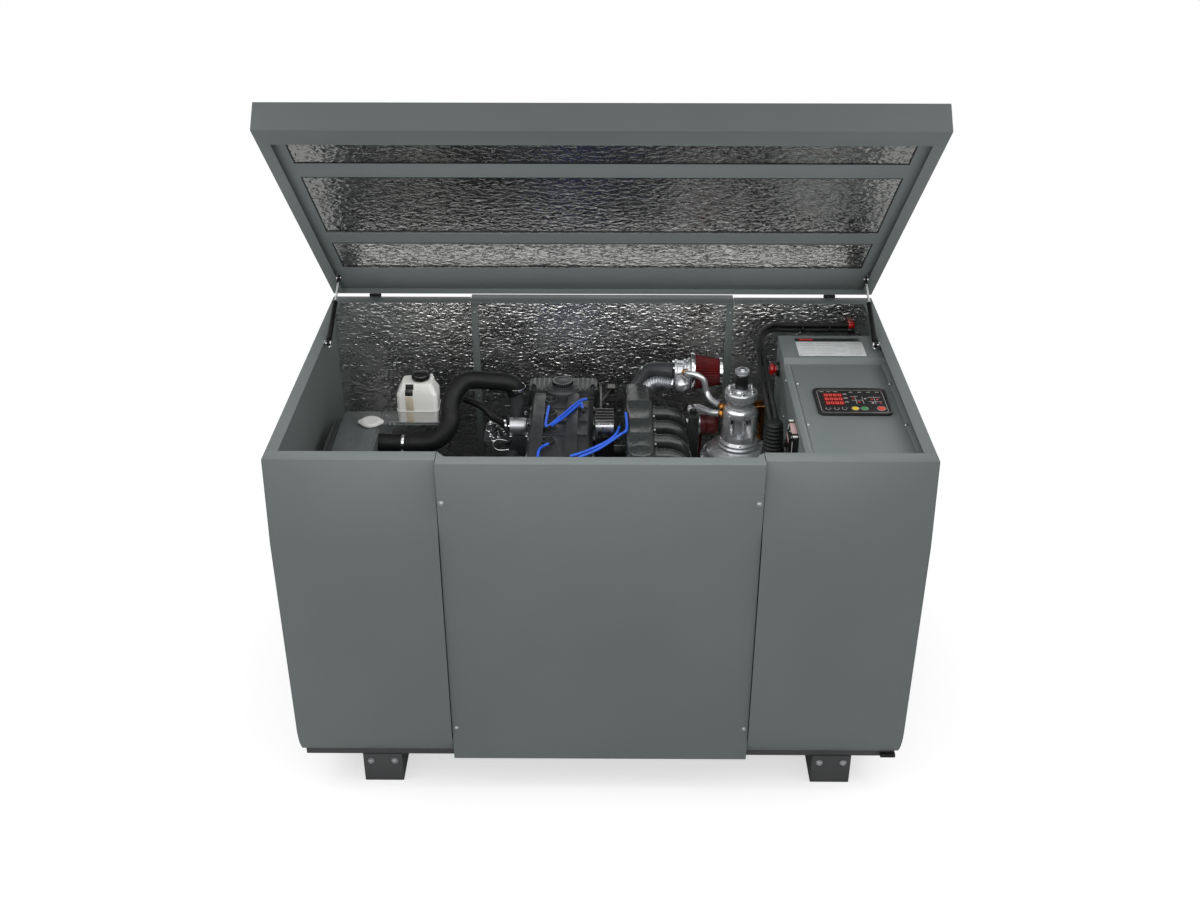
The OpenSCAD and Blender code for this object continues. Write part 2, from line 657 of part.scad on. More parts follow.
// Valve cover: a ribbed pan with four plug wells, its raised rear end carries the oil filler
chamfer = 14;
flange_h = 12;
filler = [engine_x - 2, cover_y1 - 79];
well_x = engine_x - 42;
well_r = 19;
module valve_cover() {
    w = cover_w / 2;
    rear = cover_y1 - 122;
    top = cover_h - 14;
    color(dark) difference() {
        union() {
            slab([engine_x - w, cover_y0, cover_z], [engine_x + w, cover_y1, cover_z + flange_h], 26);
            translate([engine_x, cover_y1 - 10, cover_z]) rotate([90, 0, 0]) linear_extrude(cover_len - 20)
                polygon(both_sides([[w - 9, 0], [w - 9, top - chamfer], [w - 9 - chamfer, top]]));
            // two long ridges, cross ribs and the bolt bosses
            for (x = [-0.34, 0.16]) slab([engine_x + x * cover_w - 20, cover_y0 + 24, cover_z + 1],
                                       [engine_x + x * cover_w + 20, rear + 2, cover_top], 8);
            for (y = bore_y) block([engine_x - 0.34 * cover_w, y + 40, cover_z + 1],
                                   [engine_x + 0.38 * cover_w, y + 46, cover_z + cover_h - 9]);
            for (i = [0 : 5], s = [-1, 1])
                rod_z([engine_x + s * (w - 10), cover_y0 + 36 + i * (cover_len - 72) / 5, cover_z], 9, 26);
            for (y = bore_y) rod_z([well_x, y, cover_z + 1], well_r + 6, cover_h - 5);
            valve_cover_rear(rear);
        }
        for (y = bore_y) rod_z([well_x, y, cover_z + 30], well_r, cover_h);
    }
}
module valve_cover_rear(rear) {
    w = cover_w / 2 + 4;
    crown = 60;
    translate([0, 0, cover_z + 1]) linear_extrude(cover_h - 1) {
        translate([engine_x - w, rear + 20]) rounded(2 * w, cover_y1 - rear - 20, 16);
        translate([filler.x, filler.y]) circle(crown + 4);
    }
    for (i = [0 : 12]) translate([engine_x - w + 18 + i * (2 * w - 36) / 12, 0, 0])
        block([-3, rear + 26, cover_z + 1], [3, cover_y1 - 6, cover_z + cover_h + 5]);
    translate([filler.x, filler.y, cover_z + cover_h - 1])
        turned([[0, 0], [crown, 0], [crown - 6, 8], [42, 12], [42, 16], [36, 18], [36, 28], [32, 31], [0, 31]]);
    for (a = [0, 60, 120]) translate([filler.x, filler.y, cover_z + cover_h + 15]) rotate([0, 0, a])
        block([-38, -5, 0], [38, 5, 11]);
    for (s = [-1, 1]) rod_z([engine_x + s * (w - 16), rear + 40, cover_z + cover_h - 1], 11, 12);
}
coil_w = 64;
coil_x = engine_x + cover_w / 2 + seat;
coil_y = cover_y0 + 172;
coil_top = cover_top + 60;
module ignition_coil() {
    fin = 10;
    color(black) difference() {
        union() {
            slab([coil_x, coil_y, cover_z - 20], [coil_x + coil_w, coil_y + 116, coil_top], 6);
            rod_y([coil_x + 18, coil_y - 16, coil_top - 26], 9, 18);
            rod_y([coil_x + 46, coil_y - 16, coil_top - 26], 9, 18);
        }
        for (i = [0 : 3]) block([coil_x - 1, coil_y + 34 + i * 2 * fin, coil_top - 7],
                                [coil_x + coil_w + 1, coil_y + 34 + (2 * i + 0.6) * fin, coil_top + 1]);
    }
}
lead_r = 4;
lead_z = cover_top + lead_r + seat;
// A lead's route, [x, y, z] from the crankshaft line, one end of the cover and its top
module lead(end, route) {
    tube(curve([for (p = route) [engine_x + p.x, end + p.y, lead_z + p.z]]), lead_r, 8);
}
module ignition_leads() {
    color("#2f62c9") {
        lead(cover_y1, [[-46, -225, 0], [-50, -300, 1], [-48, -388, 2], [4, -300, 1], [61, -196, 0],
                        [101, -178, 2]]);
        lead(cover_y0, [[-30, 141, 0], [-60, 110, 0], [-69, 80, 0], [-70, 25, 0]]);
        lead(cover_y0, [[54, 32, 0], [130, 80, 9], [204, 139, 32], [227, 155, 46], [225, 281, 46]]);
        lead(cover_y0, [[26, 40, 0], [100, 80, 6], [165, 128, 16], [193, 159, 27], [204, 216, 27]]);
    }
}

// ---------- Alternator ----------

alternator_z = crank_z;
alternator_y1 = block_y0 - 40 - seat;
alternator_y0 = alternator_y1 - alternator_len;
terminal_h = 64;
module alternator() {
    r = alternator_r;
    n = 18;
    color(dark) {
        // end bells and frame, with fins along it
        turned_y([engine_x, alternator_y0, alternator_z],
            [[0, 0], [0.5 * r, 0], [0.9 * r, 34], [r, 44], [r, 74], [r - 14, 78], [r - 14, alternator_len - 42],
             [r, alternator_len - 38], [r, alternator_len], [0, alternator_len]]);
        for (i = [0 : n - 1])
            translate([engine_x, alternator_y0 + 70, alternator_z]) rotate([0, 360 * (i + 0.5) / n, 0])
                block([0.6 * r, 0, -4], [r - 2, alternator_len - 100, 4]);
        for (s = [-1, 1]) {
            block([engine_x + s * 0.68 * r - 30, alternator_y0 + 60, deck_z + 14],
                  [engine_x + s * 0.68 * r + 30, alternator_y1 - 50, alternator_z - 0.55 * r]);
            block([engine_x + s * 0.68 * r - 42, alternator_y0 + 50, deck_z],
                  [engine_x + s * 0.68 * r + 42, alternator_y1 - 40, deck_z + 16]);
        }
        // terminal box with its lid
        block([engine_x - 84, alternator_y0 + 76, alternator_z],
              [engine_x + 84, alternator_y1 - 60, alternator_z + r + terminal_h - 8]);
        slab([engine_x - 92, alternator_y0 + 68, alternator_z + r + terminal_h - 10],
             [engine_x + 92, alternator_y1 - 52, alternator_z + r + terminal_h], 10);
    }
}

// ---------- Intake ----------

plenum_x = engine_x + plenum_off;
plenum_top = cover_top + plenum_rise;
plenum_y1 = cover_y1 - 144;
plenum_y0 = plenum_y1 - plenum_len;
plenum_h = 100;
plenum_side = plenum_x + plenum_w / 2;
runner_y0 = plenum_y0 + 76;
neck_r = 34;
neck_z = plenum_top - 42;
dome_y = plenum_y0 + 46;
module intake_plenum() {
    band = 7;
    color(dark) {
        translate([0, plenum_y1, 0]) rotate([90, 0, 0]) linear_extrude(plenum_len)
            translate([plenum_x - plenum_w / 2, plenum_top - plenum_h]) rounded(plenum_w, plenum_h, 18);
        // bands across it, and the round cap at its front end
        for (y = [0.24, 0.49, 0.68]) translate([0, plenum_y1 - y * plenum_len, 0]) rotate([90, 0, 0])
            linear_extrude(band) translate([plenum_x - plenum_w / 2 - 2, plenum_top - plenum_h - 2])
                rounded(plenum_w + 2, plenum_h + 4, 19);
        translate([plenum_x, dome_y, plenum_top - 20]) turned([[0, 0], [44, 0], [44, 22], [40, 27], [36, 27],
            [34, 24], [0, 24]]);
        turned_y([plenum_x, plenum_y1 - 1, neck_z], [[0, 0], [neck_r + 8, 0], [neck_r + 8, 7], [neck_r, 8],
            [neck_r, 13], [0, 13]]);
    }
}
// A runner leaves the plenum, turns down, and comes back under it to the cylinder head
runner_top = plenum_top - 38;
runner_low = cover_z - 66;
runner_x1 = plenum_side + seat + 40;
module runner() {
    x0 = plenum_side + seat;
    drop = runner_top - runner_low - 2 * runner_bend;
    rod_x([x0, 0, runner_top], runner_r, runner_x1 - x0);
    rod_x([x0, 0, runner_top], runner_r + 4, 8);
    translate([runner_x1, 0, runner_top - runner_bend]) rotate([90, 0, 0])
        rotate_extrude(angle = 90) translate([runner_bend, 0]) circle(runner_r);
    rod_z([runner_x1 + runner_bend, 0, runner_low + runner_bend], runner_r, drop);
    translate([runner_x1, 0, runner_low + runner_bend]) rotate([90, 90, 0])
        rotate_extrude(angle = 90) translate([runner_bend, 0]) circle(runner_r);
    rod_x([head_side + seat, 0, runner_low], runner_r, runner_x1 - head_side - seat);
}
module intake_runners() {
    last = runner_y0 + 3 * bore_pitch;
    color(dark) {
        for (i = [0 : 3]) translate([0, runner_y0 + i * bore_pitch, 0]) runner();
        block([head_side + seat, runner_y0 - 40, runner_low - 34],
              [head_side + 14, last + 40, runner_low + 34]);
        // strap that ties the runners together, with the sensor box on it
        block([runner_x1 + runner_bend + 12, runner_y0 - 30, runner_low + 20],
              [runner_x1 + runner_bend + 30, last + 10, runner_low + 44]);
        slab([runner_x1 + runner_bend + 20, last - 96, runner_low + 14],
             [runner_x1 + runner_bend + 56, last - 52, runner_top + 34], 4);
    }
}
body_x = plenum_x + 130;
filter_x = plenum_x + 186;
filter_y = plenum_y1 + 12;
filter_z = plenum_top + 44;
module intake_elbow() {
    color(alloy) {
        tube(curve([[plenum_x, plenum_y1 + 12 + seat, neck_z], [plenum_x + 1, plenum_y1 + 46, neck_z + 10],
            [plenum_x + 40, plenum_y1 + 52, filter_z - 20], [plenum_x + 86, filter_y + 24, filter_z - 4],
            [body_x + 1, filter_y, filter_z]]), 30, 14, from = [0, 1, 0]);
        // throttle body: flange, waist with ribs, and the ring that the filter clamps to
        turned_x([body_x, filter_y, filter_z], [[0, 0], [43, 0], [43, 8], [36, 10], [36, 30], [46, 34],
            [46, 42], [42, 44], [42, filter_x - body_x - 8 - seat], [50, filter_x - body_x - 6 - seat],
            [50, filter_x - body_x - seat], [0, filter_x - body_x - seat]]);
        for (a = [20 : 40 : 340]) translate([body_x + 1, filter_y, filter_z]) rotate([a, 0, 0])
            block([0, 30, -3], [40, 41, 3]);
        // its motor, leaning down to the front
        translate([body_x + 14, filter_y, filter_z]) rotate([120, 0, 0]) rotate([0, 14, 0])
            turned([[0, 0], [19, 0], [19, 58], [22, 60], [22, 68], [20, 74], [16, 78], [0, 78]]);
    }
}
// Air filter: a pleated cone between its clamp and its end cap
pleats = 36;
module air_filter() {
    cone_l = filter_len - 26;
    r = filter_r - 6;
    color("#8a1216") translate([filter_x, filter_y, filter_z]) rotate([0, 90, 0]) {
        turned(drum(filter_r, 15, 3));
        translate([0, 0, 14.5]) linear_extrude(cone_l, scale = 1 - 15 / r)
            polygon([for (i = [0 : 2 * pleats - 1]) let (a = 180 * i / pleats, q = i % 2 == 0 ? r : r - 4)
                [q * cos(a), q * sin(a)]]);
        translate([0, 0, cone_l + 14]) turned(drum(filter_r - 18, filter_len - cone_l - 14, 3));
    }
}

// ---------- Gas train ----------

valve_x = cab_x - valve_off;
valve_y = lining_y - valve_back;
regulator_z = deck_z + regulator_h;                     // top of the regulator
valve_z = regulator_z + 185;                            // middle of the valve's flange
module gas_valve() {
    f = valve_flange_r;
    low = regulator_z + seat;
    mid = valve_z - low;
    window = [1.3 * f, 74];
    color(alloy) translate([valve_x, valve_y, 0]) {
        difference() {
            // foot, caged body, neck and flange, and the solenoid on top
            translate([0, 0, low]) turned([[0, 0], [f + 12, 0], [f + 12, 6], [f + 2, 14], [f + 2, 128],
                [f - 4, 138], [42, 142], [42, mid - 20], [f - 4, mid - 17], [f, mid - 13], [f, mid + 12],
                [f - 4, mid + 16], [34, mid + 16], [34, mid + 12], [solenoid_r + 4, mid + 12],
                [solenoid_r, mid + 18], [solenoid_r, mid + 84], [solenoid_r + 4, mid + 86],
                [solenoid_r + 4, mid + 93], [0, mid + 93]]);
            difference() {
                block([-window.x / 2, -f - 20, low + 34], [window.x / 2, f + 20, low + 34 + window.y]);
                rod_z([0, 0, low + 20], 23, window.y + 30);
            }
        }
        for (a = [45 : 90 : 315]) rotate([0, 0, a]) block([f - 2, -5, low + 20], [f + 7, 5, low + 120]);
    }
}
module gas_regulator() {
    r = regulator_r;
    color(alloy) {
        // two domed half casings bolted at their rim, on a stem
        translate([valve_x, valve_y, regulator_z]) turned([[0, 0], [0.5 * r, 0], [0.56 * r, -6],
            [0.56 * r, -16], [0.66 * r, -20], [0.82 * r, -30], [0.88 * r, -44], [0.88 * r, -60],
            [r, -60], [r, -78], [0.88 * r, -78], [0.88 * r, -92], [0.8 * r, -108], [0.6 * r, -128],
            [0.5 * r, -150], [0.5 * r, -220], [0.27 * r, -224], [0.27 * r, 12 - regulator_h],
            [0.67 * r, 10 - regulator_h], [0.67 * r, -regulator_h], [0, -regulator_h]]);
        for (i = [0 : 9]) translate([valve_x, valve_y, regulator_z - 69]) rotate([0, 0, 36 * i])
            translate([r - 8, 0, 0]) cylinder(r = 5.4, h = 32, $fn = 6, center = true);
    }
}
gas_filter_y = valve_y + 110;
gas_filter_z = regulator_z + 15;
gas_filter_r = 46;
module gas_filter() {
    x0 = valve_x - 156;
    r = gas_filter_r;
    color("#6d1518") {
        turned_x([x0 - 8, gas_filter_y, gas_filter_z], [[0, 0], [r, 0], [r + 4, 4], [r + 4, 12], [r, 14],
            [r, 46], [r - 3, 49], [r - 3, 53], [r, 56], [r, 90], [r - 6, 98], [0, 98]]);
        rod_z([x0 + 20, gas_filter_y, deck_z], 14, gas_filter_z - deck_z - 30);
        translate([x0 + 20, gas_filter_y, deck_z]) turned(drum(36, 10, 2));
    }
}
// Points of the two gas pipes from the filter's clamp and the valve's side
module gas_pipes() {
    x1 = valve_x - valve_flange_r - 2 - seat;
    z1 = valve_z - 92;
    color(alloy) {
        tube(curve([[filter_x - 20, filter_y - 42.5, filter_z + 19],
            [filter_x - 12, filter_y - 66, filter_z + 28], [filter_x + 20, filter_y - 88, filter_z + 30],
            [filter_x + 46, filter_y - 92, filter_z + 14], [filter_x + 62, filter_y - 96, filter_z - 70],
            [filter_x + 74, filter_y - 120, filter_z - 90], [x1, valve_y, z1]], 3), 9, 10,
            from = unit([0, -42.5, 19]), to = [1, 0, 0]);
        tube(curve([[filter_x + 20, filter_y - 90, filter_z - 92], [x1 - 40, valve_y + 8, z1 - 26],
            [x1, valve_y, z1 - 30]], 3), 11, 10, to = [1, 0, 0]);
    }
}

// ---------- Cooling ----------

rad_x = -inner_x + duct_len;
rad_y1 = lining_y - rad_back;
rad_y0 = rad_y1 - radiator_len;
rad_top = deck_z + radiator_h;
rad_side = rad_x + tank_w;
exp_x = rad_side + 66;
exp_d = 96;
exp_y = rad_y1 - 105;
cap = [rad_x + 112, rad_y1 - 104];
module radiator() {
    side = [rad_x + 30, rad_side - 43];
    color(dark) {
        slab([rad_x, rad_y0, rad_top - 84], [rad_side, rad_y1, rad_top - 6], 14);
        slab([rad_x + 6, rad_y0 + 6, rad_top - 10], [rad_side - 6, rad_y1 - 6, rad_top], 10);
        block([side[0], rad_y0 + 10, deck_z + 83], [side[1], rad_y1 - 10, rad_top - 83]);
        for (y = [rad_y0, rad_y1 - 14])
            block([side[0] - 8, y, deck_z + 83], [side[1] + 8, y + 14, rad_top - 83]);
        slab([rad_x, rad_y0, deck_z + 12], [rad_side, rad_y1, deck_z + 84], 14);
        for (y = [rad_y0 + 30, rad_y1 - 90])
            block([rad_x + 10, y, deck_z], [rad_side - 10, y + 60, deck_z + 13]);
        // filler neck with its cap
        translate([cap.x, cap.y, rad_top - 1])
            turned([[0, 0], [34, 0], [34, 5], [28, 7], [37, 8], [37, 13], [32, 16], [0, 16]]);
        translate([cap.x, cap.y, rad_top + 7]) linear_extrude(6) hull()
            for (s = [-1, 1]) translate([s * 36, 0]) circle(8);
        // bracket that carries the expansion tank
        block([rad_side - 1, rad_y1 - 110, rad_top - 40], [rad_side + 4, rad_y1 - 8, rad_top + 4]);
        block([rad_side, rad_y1 - 110, rad_top], [exp_x + tank_box_w, rad_y1 - 8, rad_top + 4]);
        for (y = [rad_y1 - 110, rad_y1 - 12]) translate([0, y + 4, 0]) rotate([90, 0, 0]) linear_extrude(4)
            polygon([[rad_side, rad_top - 40], [exp_x + 20, rad_top + 1], [rad_side, rad_top + 1]]);
    }
}
// Duct that leads the warm air from the radiator to the end wall, stiffened by folds on top
module air_duct() {
    x0 = -inner_x + grille_deep + seat + 1;
    x1 = rad_x - seat;
    y0 = rad_y0 + 40;
    y1 = rad_y1 - 40;
    top = rad_top - 20;
    t = sheet_t;
    color(dark) {
        difference() {
            block([x0, y0, grille_z - grille_lap], [x1, y1, top]);
            block([x0 - 1, y0 + t, grille_z - grille_lap + t], [x1 + 1, y1 - t, top - t]);
        }
        for (x = [x0 + 3, x1 - 12]) block([x, y0, top - 0.5], [x + 9, y1, top + 9]);
    }
}
module expansion_tank() {
    top = tank_box_h - 8;
    shoulder = 40;
    color("#d6d6d2") translate([exp_x, exp_y, rad_top + 4 + seat]) {
        linear_extrude(top - shoulder) rounded(tank_box_w, exp_d, 16);
        hull() {
            translate([0, 0, top - shoulder - 0.5]) linear_extrude(0.5) rounded(tank_box_w, exp_d, 16);
            translate([20, 14, top - 1]) linear_extrude(1) rounded(tank_box_w - 40, exp_d - 28, 14);
        }
        // seam round its middle, filler neck and the overflow's nozzle
        translate([-2.5, -2.5, 46]) linear_extrude(5) rounded(tank_box_w + 5, exp_d + 5, 18);
        translate([84, exp_d / 2, top - 1])
            turned([[0, 0], [24, 0], [24, 5], [29, 6], [29, 21], [26, 24], [0, 24]]);
        translate([tank_box_w - 24, exp_d - 24, top - shoulder - 1])
            turned([[0, 0], [9, 0], [9, 40], [6, 42], [6, 50], [0, 50]]);
    }
}
hose_y = 117;
hose_clear = 11;
exp_end = exp_x + tank_box_w;
rise_x = exp_end + hose_clear + hose_r;
// A hose's route: parts of the way from its rise to the engine's outlet, y, and z from the radiator's top
function route(p) = [for (q = p) [rise_x + q.x * (outlet.x - rise_x), q.y, rad_top + q.z]];
module coolant_hoses() {
    color(black) {
        tube(curve(concat([[rad_side + seat, hose_y, rad_top - 50],
                           [rad_side + 0.48 * (exp_end - rad_side), hose_y, rad_top - 54],
                           [exp_end - 13, hose_y + 5, rad_top - 46]],
            route([[0, hose_y + 33, 6], [0.02, hose_y + 88, 76], [0.23, hose_y + 138, 124],
                   [0.6, outlet.y, outlet.z - rad_top + 46], [0.92, outlet.y, outlet.z - rad_top + 36]]),
            [[outlet.x, outlet.y, outlet.z + seat]]), 3), hose_r, 14, from = [1, 0, 0], to = [0, 0, -1]);
        tube(curve(concat(route([[0.17, outlet.y + 23, 30], [0.44, outlet.y, 12], [0.65, outlet.y - 24, -24]]),
            [[outlet.x - 21 - seat, outlet.y - 80, cover_z + 13]]), 3), 12, 10, to = [1, 0, 0]);
    }
}

// ---------- Control cabinet ----------

cab_y0 = front_y + 18;
cab_y1 = cab_y0 + cabinet_d;
cab_top = rim_z - deck_drop;
cab_bottom = cab_top - cabinet_h;
panel_z = cab_top - panel_step;
panel_y1 = cab_y0 + panel_len;
lip = 12;
boot_x = cab_x - 50;
boot_y = cab_y0 + 480;
ctrl_x = cab_x + 188;
ctrl_y = cab_y0 + 430;
module control_cabinet() {
    // the control panel lies in a step below the rear deck; its left edge is chamfered
    color(paint) difference() {
        block([cab_x, cab_y0, cab_bottom], [inner_x - seat, cab_y1, cab_top]);
        along_x(cab_x - 1, inner_x + 1) polygon([[cab_y0 - 1, panel_z], [panel_y1, panel_z],
            [panel_y1 + panel_step, cab_top], [panel_y1 + panel_step, cab_top + 1],
            [cab_y0 - 1, cab_top + 1]]);
        translate([0, panel_y1, 0]) rotate([90, 0, 0]) linear_extrude(panel_len + 1)
            polygon([[cab_x - 1, panel_z - lip], [cab_x, panel_z - lip], [cab_x + lip, panel_z],
                     [cab_x + lip, panel_z + 1], [cab_x - 1, panel_z + 1]]);
        // grooves round the panel's plate and round the door in the left side
        for (x = [cab_x + lip + 8, inner_x - side_flange - 4])
            block([x, cab_y0 + 10, panel_z - 3], [x + 3, panel_y1 - 6, panel_z + 1]);
        block([cab_x + lip + 8, panel_y1 - 9, panel_z - 3],
              [inner_x - side_flange - 1, panel_y1 - 6, panel_z + 1]);
        for (y = [cab_y0 + 40, cab_y1 - 43])
            block([cab_x - 1, y, cab_bottom + 40], [cab_x + 3, y + 3, cab_top - 60]);
        for (z = [cab_bottom + 40, cab_top - 63])
            block([cab_x - 1, cab_y0 + 40, z], [cab_x + 3, cab_y1 - 40, z + 3]);
    }
    // breaker and the cable box on its left side
    color(black) {
        block([cab_x - 18, cab_y0 + 266, panel_z - 146], [cab_x + 1, cab_y0 + 394, panel_z - 44]);
        block([cab_x - 26, cab_y0 + 300, panel_z - 130], [cab_x - 17, cab_y0 + 360, panel_z - 60]);
        slab([boot_x - 36, boot_y - 50, panel_z - 330], [cab_x + 1, boot_y + 36, panel_z - 230], 1);
    }
}
// Controller: a bezel round a sunk face
module controller() {
    rim = 7;
    color(black) translate([ctrl_x - controller_w / 2, ctrl_y - controller_l / 2, panel_z + seat]) difference() {
        linear_extrude(9) rounded(controller_w, controller_l, 22);
        translate([rim, rim, 6]) linear_extrude(4) rounded(controller_w - 2 * rim, controller_l - 2 * rim, 16);
    }
}
estop = [cab_x - seat, cab_y1 - 84, cab_top - 91];
module emergency_stop() {
    color("#c01818") turned_x([estop.x - 34, estop.y, estop.z], [[0, 0], [15, 0], [20, 4], [21, 10],
        [20, 15], [12, 17], [12, 24], [17, 24], [18, 27], [18, 34], [0, 34]]);
}
cable_r = 9;
module power_cables() {
    cap_r = cable_r + 3;
    y = lining_y - cap_r - seat;
    z = panel_z - 74;
    h = 58;
    color(black) {
        for (k = [0, 1]) tube(curve([[cab_x + 300 - 20 * k, y, z + 20 * k], [cab_x + 76, y, z + 20 * k],
            [cab_x + 16, y - 6, z + 3 + 20 * k], [cab_x - 28 - 6 * k, y - 72, z + 14 + 17 * k],
            [cab_x - 50 - 10 * k, cab_y1 + 56, z + 32 + 8 * k], [cab_x - 54 - 20 * k, cab_y1 - 124, z + 34],
            [cab_x - 54 - 20 * k, cab_y1 - 264, z + 20], [boot_x + 9 - 20 * k, boot_y + 40, z - 40],
            [boot_x + 9 - 20 * k, boot_y, panel_z - 172]], 3), cable_r, 8);
        // ribbed boot where they enter the cable box
        translate([boot_x, boot_y, panel_z - 230 + seat]) turned(concat([[0, 0], [35, 0], [35, 4]],
            [for (i = [0 : 3], q = [[31, 2], [31, 5], [35, 7], [35, 10]]) [q.x - 2 * i, 4 + 11 * i + q.y]],
            [[24, h], [0, h]]));
        // terminal caps at their far ends
        for (k = [0, 1]) turned_x([cab_x + 292 - 20 * k, y, z + 20 * k], drum(cap_r, 22, 3));
    }
}

placed() base_frame();
placed() floor_plate();
placed() feet();
placed() left_end_wall();
placed() right_end_wall();
placed() front_left_panel();
placed() front_mid_panel();
placed() front_right_panel();
placed() rear_left_panel();
placed() rear_mid_panel();
placed() rear_right_panel();
placed() rear_lining();
placed() air_grilles();
placed() housing_hinges();
placed() housing_studs();
placed() lid_shell();
placed() lid_frame();
placed() lid_insulation();
placed() lid_hinges();
placed() lid_studs();
placed() left_strut_cylinder();
placed() left_strut_rod();
placed() right_strut_cylinder();
placed() right_strut_rod();
placed() engine_block();
placed() valve_cover();
placed() ignition_coil();
placed() ignition_leads();
placed() alternator();
placed() intake_plenum();
placed() intake_runners();
placed() intake_elbow();
placed() air_filter();
placed() gas_valve();
placed() gas_regulator();
placed() gas_filter();
placed() gas_pipes();
placed() radiator();
placed() air_duct();
placed() expansion_tank();
placed() coolant_hoses();
placed() control_cabinet();
placed() controller();
placed() emergency_stop();
placed() power_cables();
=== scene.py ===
"""Looks of a gas generator set: a sheet-metal housing with its lid open over the engine and controls.

Lengths are in metres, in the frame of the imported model: X along the housing, Y to the back, Z up.
Only what goes through mm() or places() is written in millimetres.
"""

import json
import logging
import math
from dataclasses import dataclass
from enum import Enum
from typing import Any, Callable, Iterable, Optional, Sequence
import bpy
from mathutils import Matrix, Vector, noise


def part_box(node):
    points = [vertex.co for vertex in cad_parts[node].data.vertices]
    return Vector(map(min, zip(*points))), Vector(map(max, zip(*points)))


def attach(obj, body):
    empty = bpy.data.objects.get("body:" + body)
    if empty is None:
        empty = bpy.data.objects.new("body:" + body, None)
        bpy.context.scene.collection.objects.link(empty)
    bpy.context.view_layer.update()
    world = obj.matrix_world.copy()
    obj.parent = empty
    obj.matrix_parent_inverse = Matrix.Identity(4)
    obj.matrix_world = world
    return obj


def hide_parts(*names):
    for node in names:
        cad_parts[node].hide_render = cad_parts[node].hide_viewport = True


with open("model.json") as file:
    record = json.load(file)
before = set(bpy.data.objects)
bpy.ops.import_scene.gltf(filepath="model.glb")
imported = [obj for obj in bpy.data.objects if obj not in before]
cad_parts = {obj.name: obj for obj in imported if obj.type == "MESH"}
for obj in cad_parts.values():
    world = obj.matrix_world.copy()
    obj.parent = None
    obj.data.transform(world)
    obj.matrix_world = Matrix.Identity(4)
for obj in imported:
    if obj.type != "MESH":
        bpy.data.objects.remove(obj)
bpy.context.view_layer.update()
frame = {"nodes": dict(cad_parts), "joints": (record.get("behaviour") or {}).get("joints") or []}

log = logging.getLogger("generator_set")

Point = Sequence[float]
Profile = Sequence[tuple[float, ...]]
Values = Optional[dict[str | int, Any]]
Tree = bpy.types.NodeTree
Socket = bpy.types.NodeSocket

LEFT, RIGHT, FRONT, BACK = (-1, 0, 0), (1, 0, 0), (0, -1, 0), (0, 1, 0)


# ---------------------------------------------------------------- lengths and nodes


def mm(*given: Point) -> list[tuple[float, ...]]:
    """Returns points, or the corners of a profile, that are given in millimetres."""
    return [tuple(value / 1000 for value in point) for point in given]


def places(base: Point, *steps: Point) -> list[Vector]:
    """Returns the points that lie at steps, in millimetres, from a base point."""
    return [Vector([b + s / 1000 for b, s in zip(base, step)]) for step in steps]


def around(count: int, radius: float, first: float = 0.0) -> list[tuple[float, float]]:
    """Spreads points evenly round a circle.

    Args:
        count: How many there are.
        radius: The circle's radius.
        first: The angle of the first one, in degrees.

    Returns:
        Both coordinates of each point.
    """
    turns = (math.radians(first) + 2 * math.pi * k / count for k in range(count))
    return [(radius * math.cos(a), radius * math.sin(a)) for a in turns]


def add_node(
    tree: Tree, kind: str, values: Values = None, links: Values = None, **options: str
) -> bpy.types.Node:
    """Adds a node to a material, a world or a node group.

    Args:
        tree: The nodes that it joins.
        kind: Its type.
        values: Inputs that stay constant, by name or number.
        links: Inputs that other nodes feed, by name or number.
        options: Its settings.

    Returns:
        The node.
    """
    node = tree.nodes.new(kind)
    for name, option in options.items():
        setattr(node, name, option)
    for name, value in (values or {}).items():
        node.inputs[name].default_value = value
    for name, source in (links or {}).items():
        tree.links.new(source, node.inputs[name])
    return node


# ---------------------------------------------------------------- finishes


class Grain(Enum):
    """How the surface of a finish is worked."""

    SPRAYED = "sprayed"
    HAMMERED = "hammered"
    CAST = "cast"
    MOULDED = "moulded"
    BRUSHED = "brushed"
    POLISHED = "polished"
    GAUZE = "gauze"


class Slot(Enum):
    """The material slot that each finish names."""

    HOUSING_PAINT = "housing_paint"
    FRAME_PAINT = "frame_paint"
    FOIL = "insulation_foil"
    BLACK_STEEL = "black_steel"
    BRIGHT_STEEL = "bright_steel"
    CASTING = "engine_casting"
    INTAKE = "intake_plastic"
    BLACK_PLASTIC = "black_plastic"
    RUBBER = "cable_rubber"
    ALLOY = "cast_aluminium"
    RED = "red_finish"
    WHITE = "white_plastic"


def linear(code: str) -> tuple[float, float, float, float]:
    """Turns a colour code into linear light.

    Args:
        code: Six hex digits, red first.

    Returns:
        Red, green, blue and an alpha of 1.
    """
    parts = [int(code[i : i + 2], 16) / 255 for i in (0, 2, 4)]
    red, green, blue = (c / 12.92 if c <= 0.04045 else ((c + 0.055) / 1.055) ** 2.4 for c in parts)
    return red, green, blue, 1.0


